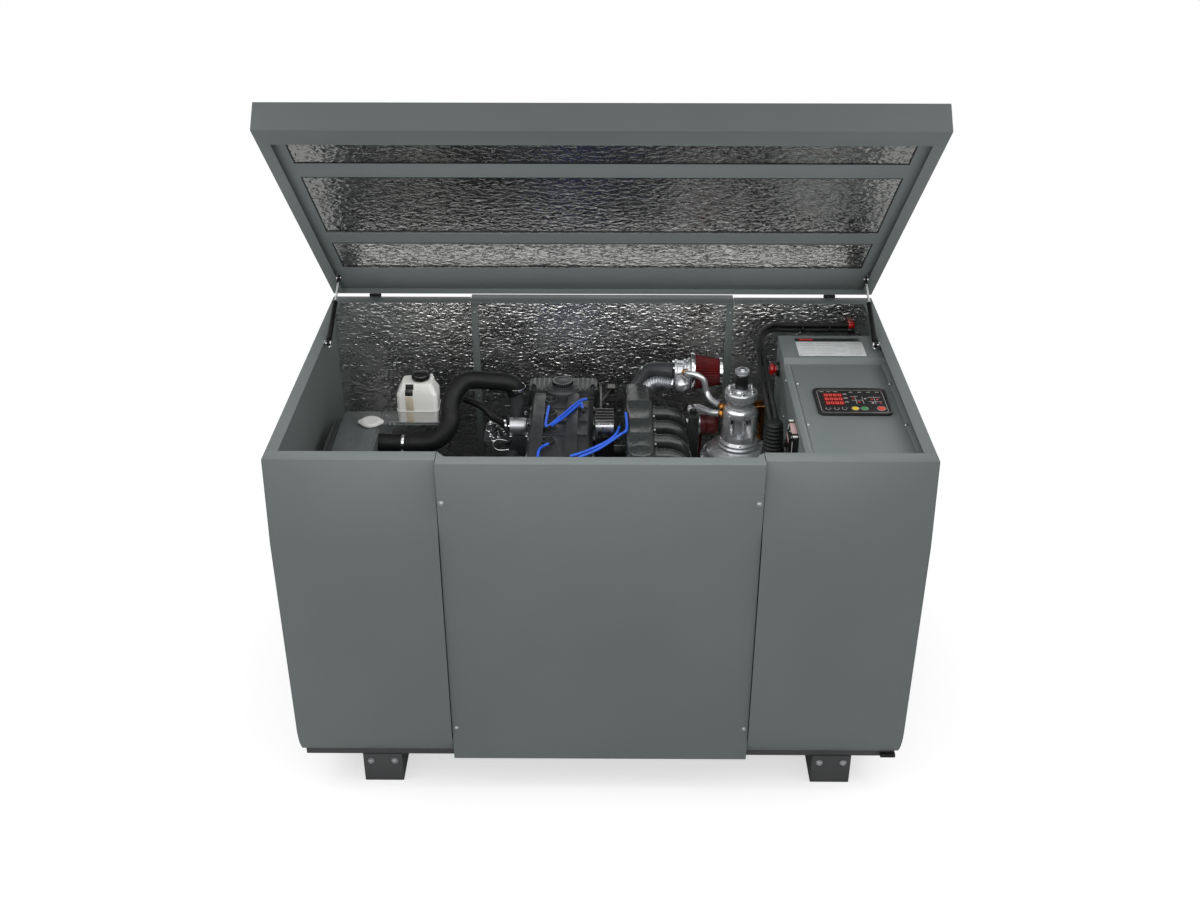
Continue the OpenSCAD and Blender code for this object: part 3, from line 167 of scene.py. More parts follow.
@dataclass(frozen=True)
class Finish:
    """One finish: two tones that drift into each other, a gloss that varies, and a worked surface."""

    name: str
    slot: Slot
    tone: str
    second: str
    grain: Grain
    gloss: tuple[float, float]
    metal: float = 0.0
    relief: float = 0.0002
    fine: float = 500.0
    broad: float = 5.0
    coat: float = 0.0
    glow: float = 0.0
    sheen: float = 0.5
    stretch: tuple[float, float, float] = (1.0, 1.0, 1.0)

    COAT_GLOSS = 0.12
    TONE_SPAN = (0.38, 0.64)
    SMEAR_SPAN = (0.35, 0.65)
    SMEARS_PER_PATCH = 3.1
    BRUSH_LINES = 14.0

    def material(self) -> bpy.types.Material:
        """Returns the finish's node material, made the first time it is asked for."""
        return bpy.data.materials.get(self.name) or self._mix()

    def _mix(self) -> bpy.types.Material:
        """Builds the node material: tones, gloss and relief all come from the object's own coordinates.

        Returns:
            The material.
        """
        made = bpy.data.materials.new(self.name)
        made.use_nodes = True
        tree = made.node_tree
        tree.nodes.clear()
        place = add_node(tree, "ShaderNodeTexCoord").outputs["Object"]
        mapping = add_node(tree, "ShaderNodeMapping", {"Scale": self.stretch}, {"Vector": place})
        where = mapping.outputs["Vector"]
        even = {"Metallic": self.metal, "Specular IOR Level": self.sheen}
        even |= {"Coat Weight": self.coat, "Coat Roughness": self.COAT_GLOSS}
        if self.glow:
            even |= {"Emission Color": linear(self.tone), "Emission Strength": self.glow}
        worked = {"Base Color": self._tones(tree, where), "Roughness": self._gloss(tree, where)}
        worked["Normal"] = self._relief(tree, where)
        shader = add_node(tree, "ShaderNodeBsdfPrincipled", even, worked)
        add_node(tree, "ShaderNodeOutputMaterial", links={"Surface": shader.outputs["BSDF"]})
        return made

    def _noise(self, tree: Tree, where: Socket, scale: float, detail: float, swirl: float = 0.0) -> Socket:
        """Adds a noise texture.

        Args:
            tree: The material's nodes.
            where: The coordinates that place it.
            scale: Features per metre.
            detail: Octaves of finer noise.
            swirl: How much it is distorted.

        Returns:
            Its value.
        """
        values = {"Scale": scale, "Detail": detail, "Distortion": swirl}
        return add_node(tree, "ShaderNodeTexNoise", values, {"Vector": where}).outputs["Fac"]

    def _range(self, tree: Tree, source: Socket, span: tuple[float, float], to: tuple[float, float]) -> Socket:
        """Maps one span of values to another.

        Args:
            tree: The material's nodes.
            source: The value that is mapped.
            span: The span that goes in.
            to: The span that comes out.

        Returns:
            The mapped value.
        """
        values = {"From Min": span[0], "From Max": span[1], "To Min": to[0], "To Max": to[1]}
        return add_node(tree, "ShaderNodeMapRange", values, {"Value": source}).outputs["Result"]

    def _tones(self, tree: Tree, where: Socket) -> Socket:
        """Lets the two tones drift into each other.

        Args:
            tree: The material's nodes.
            where: The coordinates that place the texture.

        Returns:
            The colour.
        """
        share = self._range(tree, self._noise(tree, where, self.broad, 5.0), self.TONE_SPAN, (0.0, 1.0))
        tones = {"A": linear(self.tone), "B": linear(self.second)}
        return add_node(tree, "ShaderNodeMix", tones, {"Factor": share}, data_type="RGBA").outputs["Result"]

    def _gloss(self, tree: Tree, where: Socket) -> Socket:
        """Lets the gloss vary, as handling and dust leave it.

        Args:
            tree: The material's nodes.
            where: The coordinates that place the texture.

        Returns:
            The roughness.
        """
        smears = self._noise(tree, where, self.broad * self.SMEARS_PER_PATCH, 6.0)
        return self._range(tree, smears, self.SMEAR_SPAN, self.gloss)

    def _relief(self, tree: Tree, where: Socket) -> Socket:
        """Adds the fine relief of the grain.

        Args:
            tree: The material's nodes.
            where: The coordinates that place the texture.

        Returns:
            The surface's direction.
        """
        strength = 0.6
        if self.grain is Grain.HAMMERED:
            height, strength = self._noise(tree, where, self.fine, 1.2, 0.5), 1.0
        elif self.grain is Grain.GAUZE:
            cells = add_node(
                tree, "ShaderNodeTexVoronoi", {"Scale": self.fine}, {"Vector": where}, feature="SMOOTH_F1"
            )
            height = cells.outputs["Distance"]
        elif self.grain is Grain.BRUSHED:
            n = self.BRUSH_LINES
            lines = add_node(tree, "ShaderNodeMapping", {"Scale": (1.0, n, n)}, {"Vector": where})
            height = self._noise(tree, lines.outputs["Vector"], self.fine / n, 4.0)
        else:
            octaves = {Grain.SPRAYED: 2.0, Grain.CAST: 6.0, Grain.MOULDED: 3.0, Grain.POLISHED: 1.0}
            height = self._noise(tree, where, self.fine, octaves[self.grain])
        values = {"Strength": strength, "Distance": self.relief}
        return add_node(tree, "ShaderNodeBump", values, {"Height": height}).outputs["Normal"]


class Finishes:
    """Every finish of the set, by what it covers."""

    HOUSING = Finish("grey_powder_coat", Slot.HOUSING_PAINT, "6F7776", "6C7473", Grain.SPRAYED,
        (0.47, 0.53), relief=0.00012, fine=520, broad=2.5, sheen=0.4)
    INNER = Finish("grey_inner_coat", Slot.HOUSING_PAINT, "666D6C", "606766", Grain.SPRAYED,
        (0.45, 0.6), relief=0.00012, fine=520, broad=2.5, sheen=0.4)
    BASE = Finish("dark_grey_base_coat", Slot.FRAME_PAINT, "454647", "3E3F40", Grain.SPRAYED,
        (0.45, 0.62), relief=0.00015, fine=420, broad=6)
    COOLER = Finish("black_cooler_coat", Slot.FRAME_PAINT, "3A3C3D", "323435", Grain.SPRAYED,
        (0.4, 0.58), fine=300, broad=7)
    HEADER = Finish("grey_header_coat", Slot.FRAME_PAINT, "686C6C", "5C6060", Grain.SPRAYED,
        (0.34, 0.5), fine=300, broad=7)
    FOIL = Finish("hammered_foil", Slot.FOIL, "E4E4E2", "DADAD8", Grain.HAMMERED,
        (0.24, 0.31), metal=1.0, relief=0.0034, fine=122, stretch=(0.52, 1.0, 1.0))
    LID_FOIL = Finish("hammered_lid_foil", Slot.FOIL, "C0C0BE", "B4B4B2", Grain.HAMMERED,
        (0.17, 0.24), metal=1.0, relief=0.0052, fine=62, stretch=(0.7, 1.0, 1.0))
    BLACK_STEEL = Finish("blackened_steel", Slot.BLACK_STEEL, "0C0D0E", "111213", Grain.SPRAYED,
        (0.36, 0.5), relief=0.00005, fine=900, broad=30, sheen=0.2)
    CHROME = Finish("bright_chrome", Slot.BRIGHT_STEEL, "DADBDD", "C6C7CA", Grain.POLISHED,
        (0.08, 0.18), metal=1.0, relief=0.00002, fine=300, broad=20)
    ZINC = Finish("zinc_plate", Slot.BRIGHT_STEEL, "B8BABC", "A3A6A8", Grain.CAST,
        (0.26, 0.42), metal=1.0, relief=0.00004, fine=700, broad=40)
    CASTING = Finish("dark_engine_casting", Slot.CASTING, "3C3E40", "2F3133", Grain.CAST,
        (0.42, 0.62), metal=0.25, relief=0.0005, fine=260, broad=12)
    COVER = Finish("satin_black_cover", Slot.CASTING, "333537", "2A2C2E", Grain.CAST,
        (0.34, 0.52), metal=0.1, relief=0.0003, fine=420, broad=9)
    # Lighter tone for the cover's rib tops and the filler cap's rim: a painted highlight where the raised tops
    # catch the light
    COVER_RIB_HIGHLIGHT = Finish("painted_highlight_cover_rib", Slot.CASTING, "6A6D6F", "55585A", Grain.CAST,
        (0.34, 0.5), metal=0.2, fine=420, broad=14)
    INTAKE = Finish("moulded_intake", Slot.INTAKE, "393C3C", "303333", Grain.MOULDED,
        (0.2, 0.32), relief=0.00016, fine=650, broad=8)
    RUNNER = Finish("moulded_runners", Slot.INTAKE, "2E3131", "272A2A", Grain.MOULDED,
        (0.22, 0.34), relief=0.00016, fine=650, broad=8)
    BLACK_PLASTIC = Finish("black_plastic", Slot.BLACK_PLASTIC, "191A1C", "232426", Grain.MOULDED,
        (0.26, 0.42), relief=0.00008, fine=900, broad=20)
    RUBBER = Finish("black_rubber", Slot.RUBBER, "181919", "202121", Grain.MOULDED,
        (0.46, 0.62), fine=700, broad=14, sheen=0.3)
    HOSE = Finish("black_hose", Slot.RUBBER, "101111", "171818", Grain.MOULDED,
        (0.44, 0.6), fine=700, broad=14, sheen=0.25)
    BLUE_LEAD = Finish("blue_silicone", Slot.RUBBER, "2A66E6", "2359D2", Grain.MOULDED,
        (0.3, 0.45), relief=0.00008, fine=800, broad=20)
    ALLOY = Finish("cast_alloy", Slot.ALLOY, "C4C6C8", "ADAFB2", Grain.CAST,
        (0.34, 0.5), metal=0.9, relief=0.0003, fine=300, broad=14)
    BRIGHT_ALLOY = Finish("polished_alloy", Slot.ALLOY, "DADCDE", "CACCCF", Grain.POLISHED,
        (0.25, 0.29), metal=0.72, relief=0.00001, fine=120, broad=3)
    GAUZE = Finish("red_filter_gauze", Slot.RED, "5A0A0D", "430608", Grain.GAUZE,
        (0.55, 0.7), relief=0.0006, fine=620, broad=20, sheen=0.25)
    RED = Finish("red_plastic", Slot.RED, "D4161A", "B81216", Grain.MOULDED,
        (0.22, 0.34), relief=0.00005, fine=700, broad=30, coat=0.3)
    OXIDE = Finish("oxide_red_paint", Slot.RED, "5C1417", "4A1012", Grain.SPRAYED,
        (0.3, 0.48), metal=0.1, fine=300, broad=14)
    WHITE = Finish("white_tank_plastic", Slot.WHITE, "F0F0ED", "E8E8E4", Grain.MOULDED,
        (0.34, 0.48), relief=0.00015, fine=400, broad=9)
    CREAM = Finish("cream_strip", Slot.WHITE, "D8CDB8", "CBBFA8", Grain.MOULDED,
        (0.4, 0.55), relief=0.00008, fine=700, broad=30)
    PLATE = Finish("printed_plate", Slot.WHITE, "D0D3D3", "C6C9C9", Grain.BRUSHED,
        (0.34, 0.46), relief=0.00003, fine=900, broad=20)
    INK = Finish("grey_ink", Slot.FRAME_PAINT, "8C8F90", "838687", Grain.MOULDED,
        (0.5, 0.6), relief=0.00003, fine=900, broad=30)
    PALE_INK = Finish("pale_ink", Slot.WHITE, "C9BFBF", "BDB2B2", Grain.MOULDED,
        (0.4, 0.5), relief=0.00003, fine=900, broad=30)
    BRASS = Finish("brass", Slot.ALLOY, "A0703A", "835829", Grain.BRUSHED,
        (0.2, 0.36), metal=1.0, relief=0.00006, broad=30)
    COPPER = Finish("aged_copper", Slot.ALLOY, "8E5A2C", "6E421E", Grain.BRUSHED,
        (0.24, 0.42), metal=1.0, relief=0.0001, fine=400, broad=18)
    WINDOW = Finish("dark_display_window", Slot.BLACK_PLASTIC, "8E1218", "7C0E14", Grain.POLISHED,
        (0.1, 0.18), relief=0.00002, fine=300, broad=20, coat=0.6)
    DIGIT = Finish("lit_segments", Slot.RED, "FF6A5C", "F2584B", Grain.POLISHED,
        (0.3, 0.4), relief=0.00002, fine=300, broad=20, glow=0.5)
    YELLOW = Finish("yellow_button", Slot.RED, "E2C51C", "D0B317", Grain.MOULDED,
        (0.25, 0.38), relief=0.00005, fine=700, broad=30)
    GREEN = Finish("green_button", Slot.RED, "2F9A4C", "278541", Grain.MOULDED,
        (0.25, 0.38), relief=0.00005, fine=700, broad=30)
    ORANGE = Finish("orange_button", Slot.RED, "D5402A", "C23722", Grain.MOULDED,
        (0.25, 0.38), relief=0.00005, fine=700, broad=30)
    SLEEVE = Finish("pink_sleeve", Slot.WHITE, "C4A8A8", "B59696", Grain.MOULDED,
        (0.35, 0.5), relief=0.00008, fine=700, broad=30)


# ---------------------------------------------------------------- places


@dataclass(frozen=True)
class Box:
    """A node's box at rest."""

    lo: Vector
    hi: Vector

    @staticmethod
    def of(node: str) -> "Box":
        """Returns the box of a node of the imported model."""
        return Box(*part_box(node))

    @property
    def mid(self) -> Vector:
        """The middle of the box."""
        return (self.lo + self.hi) / 2

    @property
    def size(self) -> Vector:
        """The box's length, depth and height."""
        return self.hi - self.lo


class LidHinge:
    """Where the lid turns, and how far it stands open."""

    _joint = next(j for j in frame["joints"] if j["name"] == "lid_hinge")
    point = Vector(_joint["pos_m"])
    opening = math.radians(_joint["range_deg"][1] - _joint["range_deg"][0])
    place = Matrix.Translation(point) @ Matrix.Rotation(-opening, 4, "X") @ Matrix.Translation(-point)


# The housing's rear crease and its rim lie this far in front of the hinge's axis and below it
CREASE_BACK = 0.0065
RIM_BELOW = 0.0027
MIDDLE_TO_HINGE = 0.6135
MID_DEPTH = LidHinge.point.y - MIDDLE_TO_HINGE
RIM = LidHinge.point.z - RIM_BELOW


def stand(at: Point, along: Point = (0, 0, 1), spin: float = 0.0) -> Matrix:
    """Places a piece that was drawn upright.

    Args:
        at: Where its foot stands.
        along: The direction that its upright takes.
        spin: Its turn about that direction, in degrees.

    Returns:
        The placing matrix.
    """
    turn = Vector(along).to_track_quat("Z", "Y").to_matrix().to_4x4()
    return Matrix.Translation(Vector(at)) @ turn @ Matrix.Rotation(math.radians(spin), 4, "Z")


def smooth_route(points: Sequence[Point], steps: int = 8) -> list[Vector]:
    """Draws a smooth line through points.

    Args:
        points: The points it passes through.
        steps: How many short runs each stretch gets.

    Returns:
        The points of the smooth line.
    """
    given = [Vector(p) for p in points]
    line: list[Vector] = []
    for i in range(len(given) - 1):
        a, b, c, d = given[max(i - 1, 0)], given[i], given[i + 1], given[min(i + 2, len(given) - 1)]
        bend, twist = 2 * a - 5 * b + 4 * c - d, 3 * b - a - 3 * c + d
        for t in (k / steps for k in range(steps)):
            line.append(0.5 * (2 * b + (c - a) * t + bend * t * t + twist * t**3))
    return line + [given[-1]]


def drum(radius: float, height: float, ease: float) -> list[tuple[float, float]]:
    """Returns the profile of a drum whose rims are eased."""
    side = [(radius - ease, 0), (radius, ease), (radius, height - ease), (radius - ease, height)]
    return [(0, 0), *side, (0, height)]


def rounded(width: float, depth: float, radius: float, steps: int = 5) -> list[tuple[float, float]]:
    """Draws a rectangle with round corners about the origin.

    Args:
        width: Its size along the first axis.
        depth: Its size along the second axis.
        radius: The corners' radius.
        steps: Short runs in each corner.

    Returns:
        The outline, anticlockwise.
    """
    outline = []
    for sx, sy, start in ((1, 1, 0), (-1, 1, 90), (-1, -1, 180), (1, -1, 270)):
        cx, cy = sx * (width / 2 - radius), sy * (depth / 2 - radius)
        for k in range(steps + 1):
            a = math.radians(start + 90 * k / steps)
            outline.append((cx + radius * math.cos(a), cy + radius * math.sin(a)))
    return outline


# ---------------------------------------------------------------- shapes


class EdgeWork:
    """The modifiers that ease a piece's edges and shade its curves smoothly."""

    SMOOTH_UP_TO = math.radians(40)
    EASE_FROM = math.radians(42)
    FLAT_UP_TO = math.radians(0.6)
    WELD = 0.00002
    _groups: dict[str, Tree] = {}

    @classmethod
    def _group(cls, name: str, fill: Callable[[Tree, Socket], Socket]) -> Tree:
        """Makes a geometry node group once.

        Args:
            name: The group's name.
            fill: Adds its nodes after a socket and returns the socket they end in.

        Returns:
            The group.
        """
        if name not in cls._groups:
            tree = bpy.data.node_groups.new(name, "GeometryNodeTree")
            for way in ("INPUT", "OUTPUT"):
                tree.interface.new_socket("Geometry", in_out=way, socket_type="NodeSocketGeometry")
            start = add_node(tree, "NodeGroupInput").outputs[0]
            add_node(tree, "NodeGroupOutput", links={0: fill(tree, start)})
            cls._groups[name] = tree
        return cls._groups[name]

    @classmethod
    def _weld(cls, tree: Tree, start: Socket) -> Socket:
        """Drops the stored normals and joins the points that lie together.

        Args:
            tree: The group.
            start: The geometry that comes in.

        Returns:
            The geometry that goes out.
        """
        drop = add_node(tree, "GeometryNodeRemoveAttribute", {"Name": "custom_normal"}, {"Geometry": start})
        merge = add_node(
            tree, "GeometryNodeMergeByDistance", {"Distance": cls.WELD}, {"Geometry": drop.outputs["Geometry"]}
        )
        return merge.outputs["Geometry"]

    @classmethod
    def _shade(cls, tree: Tree, start: Socket) -> Socket:
        """Shades smoothly across edges that bend little.

        Args:
            tree: The group.
            start: The geometry that comes in.

        Returns:
            The geometry that goes out.
        """
        kind = "GeometryNodeSetShadeSmooth"
        angle = add_node(tree, "GeometryNodeInputMeshEdgeAngle").outputs["Unsigned Angle"]
        little = add_node(
            tree, "FunctionNodeCompare", {"B": cls.SMOOTH_UP_TO}, {"A": angle}, operation="LESS_THAN"
        ).outputs["Result"]
        faces = add_node(tree, kind, {"Shade Smooth": True}, {"Geometry": start}, domain="FACE")
        wires = {"Geometry": faces.outputs["Geometry"], "Shade Smooth": little}
        return add_node(tree, kind, links=wires, domain="EDGE").outputs["Geometry"]

    @classmethod
    def ease(cls, piece: bpy.types.Object, width: float, segments: int = 2, weld: bool = False) -> None:
        """Eases a piece's edges.

        Args:
            piece: The piece or node.
            width: How wide the eased edge is; 0 leaves the edges sharp.
            segments: Facets across it.
            weld: Whether its points are joined and its flat faces merged first.
        """
        if weld:
            piece.modifiers.new("weld", "NODES").node_group = cls._group("weld_points", cls._weld)
            flat = piece.modifiers.new("flat_faces", "DECIMATE")
            flat.decimate_type = "DISSOLVE"
            flat.angle_limit = cls.FLAT_UP_TO
        if width > 0:
            bevel = piece.modifiers.new("eased_edges", "BEVEL")
            bevel.width = width
            bevel.segments = segments
            bevel.limit_method = "ANGLE"
            bevel.angle_limit = cls.EASE_FROM
        piece.modifiers.new("shading", "NODES").node_group = cls._group("smooth_shading", cls._shade)


class Shape:
    """One piece under construction: points, faces, and the finish of each face."""

    def __init__(self, name: str, finish: Finish, place: Optional[Matrix] = None) -> None:
        """Starts an empty piece.

        Args:
            name: The piece's name.
            finish: The finish of the faces that come first.
            place: Where the whole piece goes, if it isn't drawn in place.
        """
        self.name = name
        self.place = place or Matrix.Identity(4)
        self.points: list[Vector] = []
        self.faces: list[tuple[int, ...]] = []
        self.finish_of: list[int] = []
        self.finishes = [finish]
        self.current = 0

    def paint(self, finish: Finish) -> "Shape":
        """Gives the faces that follow another finish.

        Args:
            finish: The finish.

        Returns:
            The piece, for the next call.
        """
        if finish not in self.finishes:
            self.finishes.append(finish)
        self.current = self.finishes.index(finish)
        return self

    def add(
        self, points: Iterable[Point], faces: Iterable[Sequence[int]], at: Optional[Matrix] = None
    ) -> "Shape":
        """Adds points and faces.

        Args:
            points: The points.
            faces: The faces, by the points' numbers.
            at: Where they go in the piece.

        Returns:
            The piece.
        """
        move = self.place @ at if at else self.place
        start = len(self.points)
        self.points += [move @ Vector(p) for p in points]
        new = [tuple(start + i for i in face) for face in faces]
        self.faces += new
        self.finish_of += [self.current] * len(new)
        return self

    def turned(self, profile: Profile, at: Optional[Matrix] = None, sides: int = 32) -> "Shape":
        """Adds a turned form.

        Args:
            profile: Radius and height of each point, from its foot to its top.
            at: Where it stands.
            sides: Facets round it.

        Returns:
            The piece.
        """
        points: list[Point] = []
        rings: list[list[int]] = []
        for radius, height in profile:
            spots = around(sides, radius) if radius > 1e-7 else [(0.0, 0.0)]
            rings.append(list(range(len(points), len(points) + len(spots))))
            points += [(x, y, height) for x, y in spots]
        faces: list[tuple[int, ...]] = []
        for a, b in zip(rings, rings[1:]):
            for k in range(sides):
                j = (k + 1) % sides
                if len(a) == 1 and len(b) > 1:
                    faces.append((a[0], b[j], b[k]))
                elif len(b) == 1 and len(a) > 1:
                    faces.append((a[k], a[j], b[0]))
                elif len(a) > 1:
                    faces.append((a[k], a[j], b[j], b[k]))
        return self.add(points, faces, at)

    def ring(self, inner: float, outer: float, width: float, at: Matrix, sides: int = 40) -> "Shape":
        """Adds a flat band.

        Args:
            inner: Its inner radius.
            outer: Its outer radius.
            width: Its width along its axis.
            at: Where it stands.
            sides: Facets round it.

        Returns:
            The piece.
        """
        e = min(0.0006, width / 4, (outer - inner) / 2.5)
        rim = [(outer - e, 0), (outer, e), (outer, width - e), (outer - e, width)]
        return self.turned([(inner, 0), *rim, (inner, width), (inner, 0)], at, sides)

    def prism(self, outline: Profile, height: float, at: Optional[Matrix] = None) -> "Shape":
        """Adds an upright prism.

        Args:
            outline: Its outline, anticlockwise.
            height: Its height.
            at: Where it stands.

        Returns:
            The piece.
        """
        n = len(outline)
        points = [(x, y, z) for z in (0.0, height) for x, y in outline]
        faces = [tuple(reversed(range(n))), tuple(range(n, 2 * n))]
        faces += [(k, (k + 1) % n, n + (k + 1) % n, n + k) for k in range(n)]
        return self.add(points, faces, at)

    def block(self, lo: Point, hi: Point, at: Optional[Matrix] = None) -> "Shape":
        """Adds a block.

        Args:
            lo: Its lowest corner.
            hi: Its highest corner.
            at: Where its origin goes.

        Returns:
            The piece.
        """
        outline = [(lo[0], lo[1]), (hi[0], lo[1]), (hi[0], hi[1]), (lo[0], hi[1])]
        raised = Matrix.Translation((0, 0, lo[2]))
        return self.prism(outline, hi[2] - lo[2], at @ raised if at else raised)

    def blocks(self, base: Point, *pairs: tuple[Point, Point]) -> "Shape":
        """Adds blocks whose two corners lie at steps, in millimetres, from a base point.

        Args:
            base: The base point.
            pairs: The lowest and the highest corner of each block.

        Returns:
            The piece.
        """
        for pair in pairs:
            self.block(*places(base, *pair))
        return self

    def tube(
        self, line: Sequence[Vector], radius: float | Callable[[float], float], sides: int = 16
    ) -> "Shape":
        """Adds a round tube along a line.

        Args:
            line: The points of its middle.
            radius: Its radius, or its radius at each distance along it.
            sides: Facets round it.

        Returns:
            The piece.
        """
        last = len(line) - 1
        heading = [(line[min(i + 1, last)] - line[max(i - 1, 0)]).normalized() for i in range(last + 1)]
        side = heading[0].orthogonal().normalized()
        points: list[Point] = []
        run = 0.0
        for i, at in enumerate(line):
            run += (at - line[i - 1]).length if i else 0.0
            size = radius(run) if callable(radius) else radius
            side = (side - heading[i] * side.dot(heading[i])).normalized()
            other = heading[i].cross(side)
            points += [at + size * (x * side + y * other) for x, y in around(sides, 1.0)]
        faces: list[tuple[int, ...]] = []
        for i in range(0, last * sides, sides):
            for k in range(sides):
                j = (k + 1) % sides
                faces.append((i + k, i + j, i + sides + j, i + sides + k))
        faces.append(tuple(reversed(range(sides))))
        faces.append(tuple(range(last * sides, (last + 1) * sides)))
        return self.add(points, faces)

    def bolt(self, at: Matrix, radius: float, height: float, washer: bool = True) -> "Shape":
        """Adds a hexagon bolt head.

        Args:
            at: Where it sits.
            radius: Radius over its corners.
            height: Height of the head.
            washer: Whether it has a washer under it.

        Returns:
            The piece.
        """
        base = 0.0
        if washer:
            base = height * 0.22
            self.turned(drum(radius * 1.35, base, base / 4), at, 20)
        head = [(0, base), (radius, base), (radius, height * 0.82), (radius * 0.84, height), (0, height)]
        return self.turned(head, at, 6)

    def dome_screw(self, at: Matrix, radius: float) -> "Shape":
        """Adds a domed screw head with a socket and a washer.

        Args:
            at: Where it sits.
            radius: Radius of the head.

        Returns:
            The piece.
        """
        self.turned(drum(radius * 1.4, radius * 0.22, radius * 0.06), at, 28)
        rise = [(0, 0.2), (1, 0.2), (0.98, 0.42), (0.86, 0.66)]
        rise += [(0.64, 0.84), (0.4, 0.9), (0.4, 0.5), (0, 0.5)]
        return self.turned([(x * radius, z * radius) for x, z in rise], at, 24)

    def clamp(self, at: Matrix, radius: float, width: float = 0.011) -> "Shape":
        """Adds a worm-drive hose clamp.

        Args:
            at: Middle of the band's lower rim, along the hose.
            radius: Radius of the hose.
            width: Width of the band.

        Returns:
            The piece.
        """
        self.ring(radius, radius + 0.0011, width, at)
        house = at @ Matrix.Translation((radius + 0.001, 0, 0))
        self.block((0, -0.009, 0.0005), (0.0055, 0.009, width - 0.0005), house)
        lean = Matrix.Rotation(math.radians(-90), 4, "X")
        screw = house @ Matrix.Translation((0.005, -0.013, width / 2)) @ lean
        return self.turned(drum(0.0042, 0.026, 0.0006), screw, 12)

    def done(self, ease: float = 0.0, body: str = "housing") -> bpy.types.Object:
        """Makes the piece, finishes it and lets it ride on a body.

        Args:
            ease: Width of its eased edges.
            body: The body that it moves with.

        Returns:
            The piece.
        """
        mesh = bpy.data.meshes.new(self.name)
        mesh.from_pydata([tuple(p) for p in self.points], [], self.faces)
        for finish in self.finishes:
            mesh.materials.append(finish.material())
        mesh.polygons.foreach_set("material_index", self.finish_of)
        mesh.update()
        piece = bpy.data.objects.new(self.name, mesh)
        bpy.context.scene.collection.objects.link(piece)
        EdgeWork.ease(piece, ease)
        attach(piece, body)
        log.info("%s: %d faces on %s", self.name, len(self.faces), body)
        return piece


def dress_node(name: str, finish: Finish, ease: float = 0.0008, segments: int = 2) -> None:
    """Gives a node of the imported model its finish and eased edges.

    Args:
        name: The node.
        finish: Its finish.
        ease: Width of its eased edges.
        segments: Facets across them.
    """
    node = frame["nodes"][name]
    for slot in node.material_slots:
        slot.material = finish.material()
    EdgeWork.ease(node, ease, segments, weld=True)
    log.info("%s: %s", name, finish.name)


# ---------------------------------------------------------------- housing


@dataclass
class HammeredSheet:
    """A sheet of foil whose surface is hammered, in real relief."""

    height: float = 0.0024
    step: tuple[float, float] = (0.008, 0.006)
    cells: tuple[float, float] = (15.0, 30.0)
    fade: float = 0.008

    def _relief(self, u: float, v: float, seed: float) -> float:
        """Works out the height of the relief.

        Args:
            u: Distance along the sheet's first side.
            v: Distance along its second side.
            seed: Picks the relief.

        Returns:
            The height.
        """
        a = noise.noise(Vector((u * self.cells[0], v * self.cells[1], seed)))
        b = noise.noise(Vector((u * self.cells[0] * 2.1, v * self.cells[1] * 1.9, seed + 7.0)))
        return self.height * (0.5 + 0.3 * a + 0.18 * b)

    def field(self, shape: Shape, corner: Point, across: Point, up: Point, out: Point, seed: float) -> None:
        """Adds one field of the sheet.

        Args:
            shape: The piece that gets it.
            corner: Its first corner.
            across: Its first side.
            up: Its second side.
            out: The direction in which the relief stands.
            seed: Picks the relief.
        """
        start, side, rise, normal = Vector(corner), Vector(across), Vector(up), Vector(out)
        n = max(2, round(side.length / self.step[0]))
        m = max(2, round(rise.length / self.step[1]))
        points = []
        for j in range(m + 1):
            for i in range(n + 1):
                u, v = side.length * i / n, rise.length * j / m
                edge = min(u, v, side.length - u, rise.length - v)
                lift = self._relief(u, v, seed) * min(1.0, edge / self.fade)
                points.append(start + side * (i / n) + rise * (j / m) + normal * lift)
        corners = [j * (n + 1) + i for j in range(m) for i in range(n)]
        shape.add(points, [(k, k + 1, k + n + 2, k + n + 1) for k in corners])


